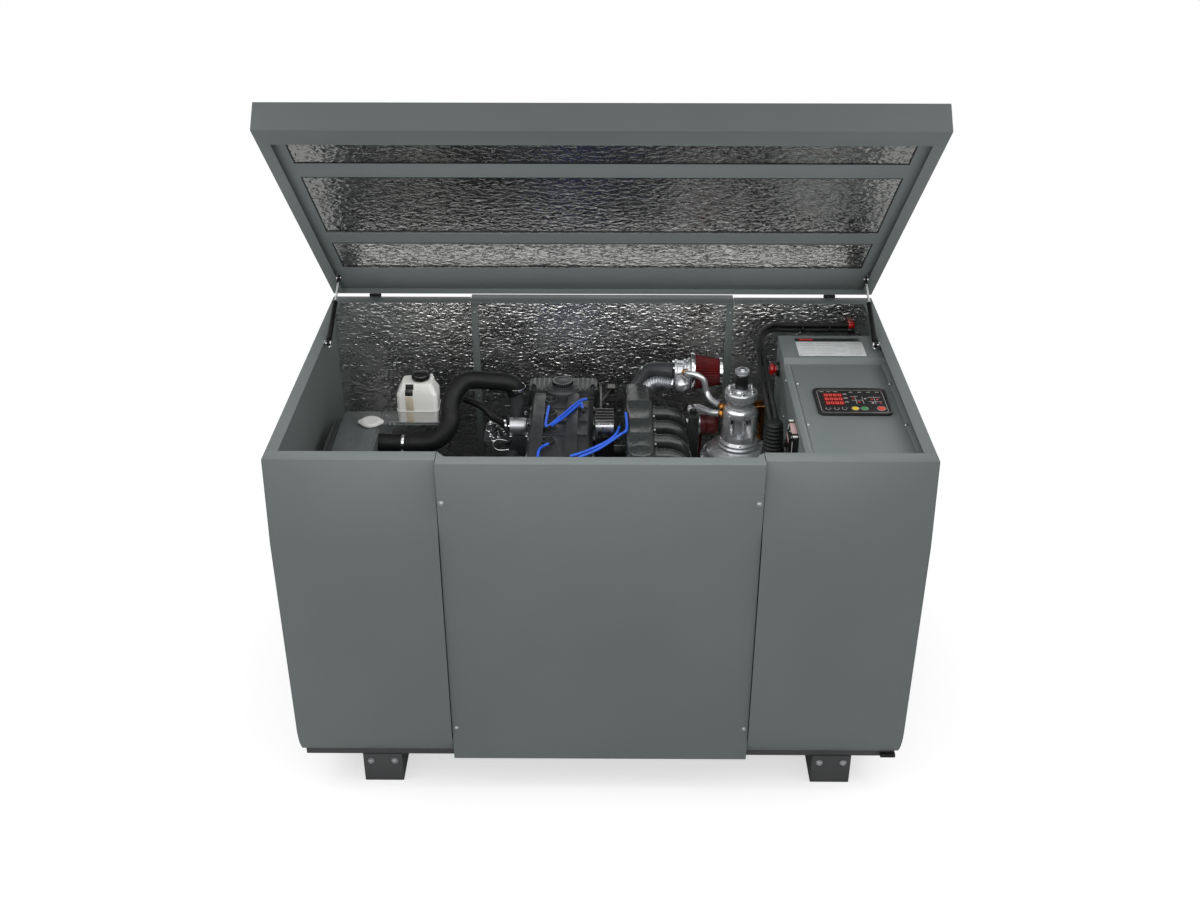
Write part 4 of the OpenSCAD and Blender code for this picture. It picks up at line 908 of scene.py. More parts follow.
@dataclass
class Housing:
    """The bent panels, the end walls, the base and the foil-faced rear wall."""

    screw_in: float = 0.0135
    screw_high: float = 0.1345
    screw_low: float = 0.133
    screw_radius: float = 0.0062
    foil_gap: float = 0.0002
    strip_at: float = 0.475
    strip_half: float = 0.012
    strip_thick: float = 0.003
    skin: float = 0.0006
    feet_at: tuple[float, float] = (-0.735, 0.781)
    vent_half: float = 0.32
    vent_foot: float = 0.308
    vent_tops: tuple[float, float] = (0.859, 0.699)

    def build(self) -> None:
        """Dresses the housing's nodes and adds its small pieces."""
        self._dress()
        self._panel_screws()
        self._rear_foil()
        self._base_details()
        self._rivets()

    def _dress(self) -> None:
        """Finishes the housing's nodes."""
        panels = [f"{side}_{part}_panel" for side in ("front", "rear") for part in ("left", "mid", "right")]
        for name in panels + ["left_end_wall", "right_end_wall"]:
            dress_node(name, Finishes.HOUSING, 0.0009)
        dress_node("air_grilles", Finishes.BASE, 0.0004)
        dress_node("base_frame", Finishes.BASE)
        dress_node("floor_plate", Finishes.BASE)
        dress_node("feet", Finishes.BASE, 0.003)
        dress_node("rear_lining", Finishes.FOIL, 0.0006)
        dress_node("housing_hinges", Finishes.BLACK_STEEL, 0.0003)
        dress_node("housing_studs", Finishes.CHROME, 0.0003)

    def _panel_screws(self) -> None:
        """Adds the four domed screws of each middle panel."""
        for name, side in (("front_mid_panel", -1), ("rear_mid_panel", 1)):
            box = Box.of(name)
            face = box.lo.y if side < 0 else box.hi.y
            shape = Shape(name.replace("panel", "screws"), Finishes.ZINC)
            for x in (box.lo.x + self.screw_in, box.hi.x - self.screw_in):
                for z in (box.hi.z - self.screw_high, box.lo.z + self.screw_low):
                    shape.dome_screw(stand((x, face, z), (0, side, 0)), self.screw_radius)
            shape.done()

    def _rear_foil(self) -> None:
        """Lays the hammered foil over the rear wall's insulation, and its two painted strips."""
        box = Box.of("rear_lining")
        face = box.lo.y + self.strip_thick - self.foil_gap
        sheet = Shape("rear_foil", Finishes.FOIL)
        outer, inner = self.strip_at + self.strip_half, self.strip_at - self.strip_half
        cut = [box.lo.x, -outer, -inner, inner, outer, box.hi.x]
        for k in (0, 2, 4):
            across = (cut[k + 1] - cut[k], 0, 0)
            HammeredSheet().field(sheet, (cut[k], face, box.lo.z), across, (0, 0, box.size.z), FRONT, 3.0 + k)
        sheet.done()
        strips = Shape("foil_strips", Finishes.INNER)
        half, front = self.strip_half + 0.0008, box.lo.y - self.skin
        for x in (-self.strip_at, self.strip_at):
            strips.block((x - half, front, box.lo.z), (x + half, face, box.hi.z))
            for z in (box.hi.z - 0.05, box.hi.z - 0.4, box.hi.z - 0.75, box.lo.z + 0.08):
                strips.paint(Finishes.ZINC).dome_screw(stand((x, front, z), FRONT), 0.004)
                strips.paint(Finishes.INNER)
        strips.done(0.0004)

    def _base_details(self) -> None:
        """Adds the rubber block under the right panel and the feet's bolts."""
        rail, feet = Box.of("base_frame"), Box.of("feet")
        block = Shape("rubber_buffer", Finishes.RUBBER)
        block.blocks((0, rail.lo.y, rail.lo.z), ((942, -12, 2), (992, 4, 16)))
        block.done(0.0015)
        bolts = Shape("foot_bolts", Finishes.ZINC)
        for x in self.feet_at:
            for s, y in ((-1, feet.lo.y), (1, feet.hi.y)):
                for dx in (-0.04, 0.04):
                    bolts.bolt(stand((x + dx, y, feet.mid.z + 0.03), (0, s, 0)), 0.0085, 0.0075)
        bolts.done(0.0003)

    def _rivets(self) -> None:
        """Adds the flush rivets round the air openings of the end walls."""
        shape = Shape("grille_rivets", Finishes.ZINC)
        head = mm((0, 0), (5, 0), (4.7, 0.16), (3, 0.26), (0, 0.3))
        foot, half = self.vent_foot, self.vent_half
        for node, side, top in zip(("left_end_wall", "right_end_wall"), (-1, 1), self.vent_tops):
            wall = Box.of(node)
            face = wall.lo.x if side < 0 else wall.hi.x
            spots = [(y, z) for y in (-half, -0.107, 0.107, half) for z in (foot, top + 0.011)]
            rows = [foot + (top + 0.011 - foot) * k / 4 for k in range(1, 4)]
            spots += [(y, z) for z in rows for y in (-half - 0.001, half + 0.001)]
            for y, z in spots:
                shape.turned(head, stand((face, MID_DEPTH + y, z), (side, 0, 0)), 16)
        shape.done()


# ---------------------------------------------------------------- lid


@dataclass
class Lid:
    """The lid's shell, the frame that holds its insulation, and the foil between its strips."""

    half_field: float = 0.928
    fields: tuple[tuple[float, float], ...] = ((0.205, 0.415), (0.505, 0.905), (0.995, 1.147))
    foil_above_rim: float = 0.0281
    # Width of the black strips that paint the shadow lines round each foil field
    shadow_line: float = 0.0032
    cells: tuple[float, float] = (34.0, 46.0)

    def build(self) -> None:
        """Dresses the lid's nodes and lays its foil."""
        dress_node("lid_shell", Finishes.HOUSING, 0.0009)
        dress_node("lid_frame", Finishes.HOUSING, 0.0006)
        dress_node("lid_insulation", Finishes.FOIL, 0.0)
        dress_node("lid_hinges", Finishes.BLACK_STEEL, 0.0003)
        dress_node("lid_studs", Finishes.CHROME, 0.0003)
        self._foil()

    def _foil(self) -> None:
        """Lays the hammered foil in the three fields between the frame's strips, with thin black rubber strips
        round each field that paint the shadow lines along the frame's edges.
        """
        back = LidHinge.point.y - CREASE_BACK
        z = RIM + self.foil_above_rim
        sheet = Shape("lid_foil", Finishes.LID_FOIL, LidHinge.place)
        # Black strips round each foil field: painted shadow in the gaps along the frame's edges
        lines = Shape("lid_shadow_lines", Finishes.RUBBER, LidHinge.place)
        half, wide, low, high = self.half_field, self.shadow_line, z - 0.0026, z + 0.0004
        for k, (near, far) in enumerate(self.fields):
            sides = ((2 * half, 0, 0), (0, near - far, 0), (0, 0, -1))
            HammeredSheet(cells=self.cells).field(sheet, (-half, back - near, z), *sides, 20.0 + k)
            for y in (back - near - wide, back - far):
                lines.block((-half, y, low), (half, y + wide, high))
            for x in (-half, half - wide):
                lines.block((x, back - far, low), (x + wide, back - near, high))
        sheet.done(body="lid")
        lines.done(0.0003, "lid")


@dataclass
class GasStrut:
    """One gas strut: cylinder, rod, its end fittings and the seal at the cylinder's mouth."""

    side: str
    lower: float = 0.397
    drop: float = 0.006
    length: float = 0.190
    eye: float = 0.008

    def build(self) -> None:
        """Dresses the strut and adds its seal and end sockets."""
        name = f"{self.side}_strut"
        dress_node(f"{name}_cylinder", Finishes.BLACK_STEEL, 0.0003)
        dress_node(f"{name}_rod", Finishes.CHROME, 0.0003)
        rod, x = Box.of(f"{name}_rod"), Box.of(f"{name}_cylinder").mid.x
        low = Vector((x, LidHinge.point.y - CREASE_BACK - self.lower, RIM - self.drop))
        high = Vector((x, rod.hi.y - self.eye, rod.hi.z - self.eye))
        along = (high - low).normalized()
        mouth = Shape(f"{name}_seal", Finishes.RUBBER)
        seal = mm((4.6, -4), (9.4, -4), (9.4, 0), (8.6, 3), (5.6, 4.6), (4.6, 4.6), (4.6, -4))
        mouth.turned(seal, stand(low + along * self.length, along), 28)
        mouth.done(body=f"{self.side}_cylinder")
        clip = Shape(f"{name}_clip", Finishes.CHROME)
        inward = -1 if x > 0 else 1
        cap = mm((0, 5.2), (8.8, 5.2), (9.4, 6), (9.4, 8.8), (7, 10.2), (0, 10.6))
        clip.turned(cap, stand(low, (inward, 0, 0)), 28)
        wire = places(low, (inward * 7.5, -2, -4), (inward * 8.5, -16, -10), (inward * 7, -24, -2))
        clip.tube(smooth_route(wire), 0.0026, 12)
        clip.done(0.0003, f"{self.side}_cylinder")
        socket = Shape(f"{name}_socket", Finishes.BLACK_PLASTIC)
        socket.ring(0.00805, 0.0098, 0.0104, stand((x - 0.0052, high.y, high.z), RIGHT), 32)
        socket.turned(mm((0, -26), (6.6, -26), (7.2, -24), (7.6, -8.5), (0, -8.5)), stand(high, along), 24)
        socket.done(0.0003, f"{self.side}_rod")


# ---------------------------------------------------------------- engine


@dataclass
class Engine:
    """The gas engine: block, head, ribbed cover, ignition and the alternator in front of it."""

    boss_out: float = 0.110
    bore_pitch: float = 0.100
    bores_back: float = 0.308
    lead_radius: float = 0.005
    crank_high: float = 0.469
    bell_bolts: float = 0.168
    pulleys: tuple[tuple[float, float, float], ...] = ((0.0, 0.469, 0.0822), (-0.034, 0.659, 0.0582))

    def __post_init__(self) -> None:
        """Finds the cover, which the engine's small pieces are placed from."""
        self.cover = Box.of("valve_cover")
        self.x = self.cover.mid.x
        self.back = self.cover.hi.y
        self.front = self.cover.lo.y
        self.top = self.cover.hi.z - 0.030
        self.foot = Vector((self.x, self.back, self.cover.lo.z))

    def build(self) -> None:
        """Dresses the engine's nodes and adds its small pieces."""
        dress_node("engine_block", Finishes.CASTING, 0.0015)
        dress_node("valve_cover", Finishes.COVER, 0.0012)
        dress_node("ignition_coil", Finishes.BLACK_PLASTIC, 0.001)
        dress_node("alternator", Finishes.CASTING, 0.0015)
        self._cover_bolts()
        self._cover_ribs()
        self._plug_boots()
        self._leads()
        self._coil_face()
        self._left_side()
        self._sensor_bracket()
        self._sensors()
        self._wiring()
        self._alternator_details()
        self._belt()

    def _cover_bolts(self) -> None:
        """Adds the bolts round the cover's flange."""
        shape = Shape("cover_bolts", Finishes.ZINC)
        z = self.cover.lo.z + 0.026
        for i in range(6):
            y = self.front + 0.036 + i * (self.back - self.front - 0.072) / 5
            for x in (self.x - self.boss_out, self.x + self.boss_out):
                shape.bolt(stand((x, y, z), spin=17 * i), 0.0062, 0.009)
        shape.paint(Finishes.BLACK_STEEL)
        for spot in places(self.foot, (-108, -82, 89), (108, -82, 89)):
            shape.dome_screw(stand(spot), 0.006)
        shape.done(0.0002)

    def _cover_ribs(self) -> None:
        """Adds pale caps that paint a highlight on the tops of the rear cover's ribs and on the filler cap's
        rim, and adds the grip of the filler cap.
        """
        # The pale caps laid on the rib tops are painted highlight
        shape = Shape("cover_ribs", Finishes.COVER_RIB_HIGHLIGHT)
        reach = self.cover.size.x / 2 - 0.018
        for i in range(13):
            rib = (self.x - reach + i * 2 * reach / 12, self.back, self.top)
            shape.blocks(rib, ((-2.6, -95, 4.6), (2.6, -7, 5.6)))
        shape.paint(Finishes.BLACK_PLASTIC)
        cap = stand((self.x - 0.002, self.back - 0.079, self.top))
        for k in range(28):
            turn = cap @ Matrix.Rotation(2 * math.pi * k / 28, 4, "Z")
            shape.block(*mm((35.2, -2.2, 18.5), (38.4, 2.2, 29.2)), turn)
        # Pale ring on the filler cap's rim: painted highlight
        shape.paint(Finishes.COVER_RIB_HIGHLIGHT)
        shape.ring(0.0300, 0.0352, 0.0012, cap @ Matrix.Translation((0, 0, 0.0302)), 40)
        shape.done(0.0005)

    def _plug_boots(self) -> None:
        """Adds the rubber boots in the plug wells."""
        shape = Shape("plug_boots", Finishes.RUBBER)
        foot = self.cover.lo.z + 0.030
        head = (self.top - foot) * 1000
        profile = [(0, 0), (16.5, 0), (16.5, head - 16), (18.2, head - 13), (18.2, head - 8), (12, head - 5)]
        profile += [(10.5, head - 1), (0, head - 1)]
        for k in range(4):
            y = self.back - self.bores_back + (1.5 - k) * self.bore_pitch
            shape.turned(mm(*profile), stand((self.x - 0.042, y, foot)), 28)
        shape.done()

    def _leads(self) -> None:
        """Adds the blue leads over the cover and out to the coil, with a black boot on each end."""
        shape = Shape("blue_leads", Finishes.BLUE_LEAD)
        boots = Shape("lead_boots", Finishes.RUBBER)
        base = (self.x, self.back, self.top + self.lead_radius + 0.0003)
        boot = mm((0, -12), (5.2, -12), (6, -6), (6.6, 6), (5.8, 12), (0, 12))
        for run in (
            [(-46, -225, 0), (-50, -300, 1), (-48, -388, 2), (4, -300, 1), (61, -196, 0), (101, -178, 2)],
            [(-30, -499, 0), (-60, -530, 0), (-69, -560, 0), (-70, -615, 0)],
            [(54, -608, 0), (130, -560, 9), (204, -501, 32), (227, -485, 46), (225, -359, 46)],
            [(26, -600, 0), (100, -560, 6), (165, -512, 16), (193, -481, 27), (204, -424, 27)],
            [(-42, -396, 1), (14, -309, 1), (64, -214, 0), (70, -226, 1), (76, -266, -1)],
        ):
            line = smooth_route(places(base, *run), 12)
            shape.tube(line, self.lead_radius, 14)
            for tip, inner in ((line[0], line[4]), (line[-1], line[-5])):
                boots.turned(boot, stand(tip, (tip - inner).normalized()), 18)
        made = shape.done()
        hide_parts("ignition_leads")
        boots.done()

    def _coil_face(self) -> None:
        """Adds the coil's pale front face, its screws and its plug."""
        box = Box.of("ignition_coil")
        shape = Shape("coil_plate", Finishes.ZINC)
        x0, x1 = box.lo.x + 0.0015, box.hi.x - 0.0015
        y0, top = box.lo.y + 0.016, box.hi.z
        curve = mm((4, -52), (-3.5, -50), (-6.2, -38), (-6.8, -26), (-5.6, -14))
        curve += mm((-2.5, -4), (3, 0.4), (12, 1), (12, -2))
        n = len(curve)
        faces = [tuple(range(n)), tuple(reversed(range(n, 2 * n)))]
        faces += [(k, n + k, n + (k + 1) % n, (k + 1) % n) for k in range(n)]
        shape.add([(x, y0 + y, top + z) for x in (x0, x1) for y, z in curve], faces)
        shape.paint(Finishes.BLACK_PLASTIC)
        shape.block((x0 + 0.01, box.hi.y - 0.001, top - 0.05), (x1 - 0.014, box.hi.y + 0.022, top - 0.022))
        shape.paint(Finishes.ZINC)
        for x in (x0 + 0.010, x1 - 0.010):
            shape.dome_screw(stand((x, y0 + 0.0015, top - 0.001), (0, -0.5, 1)), 0.0034)
        shape.done(0.0006)

    def _left_side(self) -> None:
        """Adds the bright sender and the outlet housing's bolts on the engine's left side."""
        sender = Shape("bright_sender", Finishes.ALLOY)
        body, nut = (stand(spot, RIGHT) for spot in places(self.foot, (-187, -255, 13), (-203, -255, 13)))
        sender.turned(mm((0, 1.2), (31.2, 1.2), (31.8, 3), (31.8, 50), (28.6, 60.6), (0, 61.2)), body, 40)
        for h in (0.008, 0.044):
            sender.ring(0.0317, 0.0327, 0.003, body @ Matrix.Translation((0, 0, h)))
        sender.paint(Finishes.CHROME)
        sender.turned(drum(0.0075, 0.016, 0.001), nut, 6)
        sender.done(0.0003)
        bolts = Shape("housing_fittings", Finishes.CHROME)
        spots = [(-184, -150), (-150, -150), (-186, -215), (-128, -205), (-124, -278), (-182, -278)]
        for k, (dx, dy) in enumerate(spots):
            bolts.bolt(stand(places(self.foot, (dx, dy, -14))[0], spin=23 * k), 0.0065, 0.011)
        for spot in places(self.foot, (-135, -205, 4), (-135, -145, 4)):
            bolts.bolt(stand(spot, (0.2, 0, 1)), 0.005, 0.009)
        bolts.done(0.0002)

    def _sensor_bracket(self) -> None:
        """Adds the bracket left of the outlet housing."""
        bracket = Shape("sensor_bracket", Finishes.CASTING)
        bracket.prism(rounded(0.096, 0.150, 0.012), 0.006, stand(places(self.foot, (-232, -228, -30))[0]))
        for y in (-286, -182):
            bracket.blocks(self.foot, ((-200, y, -54), (-190, y + 12, -24)))
        bracket.done(0.001)

    def _sensors(self) -> None:
        """Adds the senders on the bracket, a thin pipe and the senders' wires."""
        fittings = Shape("sensor_fittings", Finishes.CHROME)
        spots = [(-264, -170), (-246, -190), (-222, -166), (-266, -222), (-240, -232), (-216, -208)]
        spots += [(-258, -262), (-228, -268), (-210, -246), (-244, -290)]
        for k, (dx, dy) in enumerate(spots):
            lean = (0.1 * math.sin(k), 0.1 * math.cos(k), 1)
            at = stand(places(self.foot, (dx, dy, -24))[0], lean, 19 * k)
            fittings.bolt(at, 0.0058 if k % 3 else 0.0072, 0.009 + 0.004 * (k % 2))
            if k % 2:
                fittings.turned(mm((0, 10), (3.2, 10), (3.2, 22), (2.2, 24), (0, 24)), at, 12)
        pipe = [(-196, -300, -22), (-228, -308, -12), (-244, -330, -20), (-224, -358, -26), (-186, -352, -28)]
        fittings.tube(smooth_route(places(self.foot, *pipe), 10), 0.0019, 10)
        fittings.done()
        wires = Shape("sensor_wires", Finishes.RUBBER)
        for k in range(4):
            start = places(self.foot, (-264 + 14 * k, -226 + 16 * (k % 2), -16))[0]
            steps = [(0, 0, 0), (4, -20, 16), (22, -34, 12 - 4 * k), (52 - 6 * k, -50 - 10 * k, -30)]
            wires.tube(smooth_route(places(start, *steps)), 0.0026, 8)
        wires.done()

    def _wiring(self) -> None:
        """Adds the corrugated conduit along the cover, with its branch to the coil."""
        base = (self.x, self.back, self.top)
        conduit = Shape("wiring_conduit", Finishes.BLACK_PLASTIC)
        line = [(140, -330, 12), (139, -240, 6), (138, -120, -4), (131, -30, -12), (90, 18, -20), (0, 24, -30)]
        line += [(-100, 16, -50)]
        branch = [(141, -200, 4), (160, -170, 20), (176, -130, 18)]
        conduit.tube(smooth_route(places(base, *line), 30), self._ribbed(0.0060, 0.0072, 0.0022), 14)
        conduit.tube(smooth_route(places(base, *branch), 24), self._ribbed(0.0044, 0.0052, 0.002), 12)
        conduit.blocks(base, ((162, -140, 6), (190, -106, 30)))
        conduit.done()

    @staticmethod
    def _ribbed(groove: float, rib: float, width: float) -> Callable[[float], float]:
        """Makes the radius of a corrugated tube.

        Args:
            groove: Its radius in a groove.
            rib: Its radius on a rib.
            width: How wide a groove or a rib is.

        Returns:
            The radius at a distance along the tube.
        """
        return lambda run: rib if int(run / width) % 2 else groove

    def _alternator_details(self) -> None:
        """Adds the bolts of the alternator's end bell and terminal box."""
        box = Box.of("alternator")
        shape = Shape("alternator_bolts", Finishes.ZINC)
        for x, z in around(8, self.bell_bolts, 22.5):
            shape.bolt(stand((self.x + x, box.lo.y + 0.040, self.crank_high + z), FRONT), 0.0065, 0.008)
        for x in (self.x - 0.080, self.x + 0.080):
            for y in (box.lo.y + 0.082, box.hi.y - 0.066):
                shape.dome_screw(stand((x, y, box.hi.z)), 0.005)
        shape.done(0.0002)

    def _belt(self) -> None:
        """Adds the ribbed belt round the two pulleys at the engine's rear."""
        y0 = Box.of("engine_block").hi.y - 0.030
        (x0, z0, r0), (x1, z1, r1) = self.pulleys
        lean = math.atan2(z1 - z0, x1 - x0)
        off = math.acos((r0 - r1) / math.hypot(x1 - x0, z1 - z0))
        loop = [(x0, z0, r0, lean + off + (2 * math.pi - 2 * off) * k / 24) for k in range(25)]
        loop += [(x1, z1, r1, lean - off + 2 * off * k / 12) for k in range(13)]
        section = mm((0, 0), (0, 4.5), (24, 4.5), (24, 0))
        points = []
        for x, z, radius, a in loop:
            for dy, dr in section:
                r = radius + dr
                points.append((self.x + x + r * math.cos(a), y0 + dy, z + r * math.sin(a)))
        ends = [(4 * k, 4 * ((k + 1) % len(loop))) for k in range(len(loop))]
        faces = [(k + i, k + (i + 1) % 4, j + (i + 1) % 4, j + i) for k, j in ends for i in range(4)]
        shape = Shape("drive_belt", Finishes.RUBBER)
        shape.add(points, faces)
        shape.done(0.0004)


# ---------------------------------------------------------------- intake


@dataclass
class Intake:
    """The plenum, its four runners, the throttle body and the cone filter."""

    elbow_radius: float = 0.030
    flange_bolts: float = 0.034
    body_bolts: float = 0.038
    runner_pitch: float = 0.1
    hose_radius: float = 0.0205
    hose_rib: float = 0.0022
    hose_pitch: float = 0.0085

    def __post_init__(self) -> None:
        """Finds the plenum and the filter, which the other pieces are placed from."""
        box = Box.of("intake_plenum")
        self.base = Vector((box.mid.x, box.hi.y - 0.012, box.hi.z - 0.007))
        self.filter, self.body = places(self.base, (186, 12, 44), (130, 12, 44))

    def build(self) -> None:
        """Dresses the intake's nodes and adds its small pieces."""
        dress_node("intake_plenum", Finishes.INTAKE, 0.0012)
        dress_node("intake_runners", Finishes.RUNNER, 0.001)
        dress_node("air_filter", Finishes.GAUZE, 0.0)
        self._elbow()
        self._throttle()
        self._breather()
        self._filter_bands()
        self._sensor_plug()
        self._plenum_bolts()

    def _elbow(self) -> None:
        """Adds the dark cast elbow between the plenum and the throttle body."""
        shape = Shape("cast_elbow", Finishes.CASTING)
        bends = [(0, 12.5, -42), (0, 28, -40), (6, 46, -26), (40, 52, 24), (86, 30, 40), (131, 12, 44)]
        line = smooth_route(places(self.base, *bends), 10)
        mouth = line[0]
        shape.tube(line, self.elbow_radius, 32)
        shape.ring(0.028, 0.0365, 0.007, stand(mouth, BACK))
        shape.paint(Finishes.ZINC)
        for x, z in around(4, self.flange_bolts, 45):
            shape.bolt(stand(mouth + Vector((x, 0.007, z)), BACK), 0.005, 0.006)
        mid = line[len(line) // 2]
        shape.paint(Finishes.CASTING).blocks(mid, ((-18, -16, 24), (20, 12, 38)))
        shape.paint(Finishes.ZINC).bolt(stand(places(mid, (-6, -2, 38))[0]), 0.0055, 0.008)
        made = shape.done(0.0006)
        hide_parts("intake_elbow")

    def _throttle(self) -> None:
        """Adds the throttle body with its ribs, its rings and its motor."""
        b, length = self.body, (self.filter.x - self.body.x) * 1000
        shape = Shape("throttle_body", Finishes.BRIGHT_ALLOY)
        profile = [(0, 0), (42, 0), (43, 1), (43, 7), (42, 8), (36, 10), (36, 29), (45, 33.5)]
        profile += [(46, 35), (46, 41), (45, 42.5), (42, 44), (42, length - 8.5)]
        profile += [(49, length - 6.3), (50, length - 5)]
        profile += [(50, length - 1.5), (49, length - 0.3), (0, length - 0.3)]
        shape.turned(mm(*profile), stand(b, RIGHT), 48)
        for k in range(9):
            rib = stand(b + Vector((0.0005, 0, 0)), RIGHT, 40 * k)
            shape.block(*mm((30, -3, 1), (41, 3, 36)), rib)
        lean = Matrix.Rotation(math.radians(120), 3, "X") @ Matrix.Rotation(math.radians(14), 3, "Y")
        motor = mm((0, 0), (21, 0), (21, 36), (25.5, 42), (26.5, 50), (26.5, 64))
        motor += mm((23.5, 73), (17, 79), (0, 81))
        shape.turned(motor, stand(b + Vector((0.014, 0, 0)), lean @ Vector((0, 0, 1))), 36)
        shape.paint(Finishes.CHROME)
        for y, z in around(4, self.body_bolts, 45):
            shape.bolt(stand(b + Vector((0.0, y, z)), LEFT), 0.0048, 0.006)
        shape.ring(0.0425, 0.0475, 0.005, stand(b + Vector((0.0465, 0, 0)), RIGHT), 48)
        shape.done(0.0005)

    def _breather(self) -> None:
        """Adds the silver corrugated hose under the elbow, and the clamp at its end."""
        line = smooth_route(places(self.base, (30, 4, -20), (52, -2, 4), (84, -10, 12), (128, -18, 8)), 40)
        shape = Shape("silver_hose", Finishes.ALLOY)
        wave = 2 * math.pi / self.hose_pitch
        shape.tube(line, lambda run: self.hose_radius + self.hose_rib * math.sin(wave * run), 28)
        shape.paint(Finishes.CHROME)
        along = (line[-1] - line[-4]).normalized()
        shape.ring(self.hose_radius, 0.0262, 0.006, stand(line[-1] - along * 0.008, along), 40)
        shape.done()

    def _filter_bands(self) -> None:
        """Adds the filter's chrome clamp ring and end cap."""
        f = Box.of("air_filter")
        at = stand((f.lo.x, self.filter.y, self.filter.z), RIGHT)
        shape = Shape("filter_bands", Finishes.CHROME)
        r, end = f.size.z * 500, f.size.x * 1000
        band = [(40, -0.1), (r - 4, -0.1), (r + 0.9, 2), (r + 0.9, 13), (r - 1, 15.5), (r - 7, 15.5)]
        shape.turned(mm(*band), at, 56)
        small = r - 18
        cap = [(small + 0.6, end - 12.5), (small + 1.2, end - 11), (small + 1.2, end - 2)]
        cap += [(small - 3, end + 0.6), (small - 10, end + 0.6), (small - 12, end - 0.2), (0, end + 0.2)]
        shape.turned(mm(*cap), at, 48)
        shape.done()

    def _sensor_plug(self) -> None:
        """Adds the plug, the wire and the screws of the sensor box on the runners."""
        corner = Box.of("intake_runners").hi
        shape = Shape("sensor_plug", Finishes.BLACK_PLASTIC)
        shape.blocks(corner, ((-30, -112, -0.5), (-8, -90, 14)))
        wire = places(corner, (-19, -100, 12), (-20, -85, 22), (-34, -50, 10), (-46, -20, -30))
        shape.tube(smooth_route(wire), 0.0035, 12)
        shape.paint(Finishes.CHROME)
        for spot in places(corner, (0, -84, -20), (0, -84, -120)):
            shape.dome_screw(stand(spot, RIGHT), 0.0038)
        shape.done(0.0006)

    def _plenum_bolts(self) -> None:
        """Adds the bolts beside the runners, where they leave the plenum."""
        bolts = Shape("plenum_bolts", Finishes.ZINC)
        first = Box.of("intake_runners").lo.y + 0.040
        spots = [first + self.runner_pitch * k + dy for k in range(4) for dy in (-0.033, 0.033)]
        for y in spots[:-1]:
            bolts.bolt(stand((self.base.x + 0.049, y, self.base.z - 0.030), RIGHT), 0.0045, 0.006)
        bolts.done(0.0002)


# ---------------------------------------------------------------- gas train


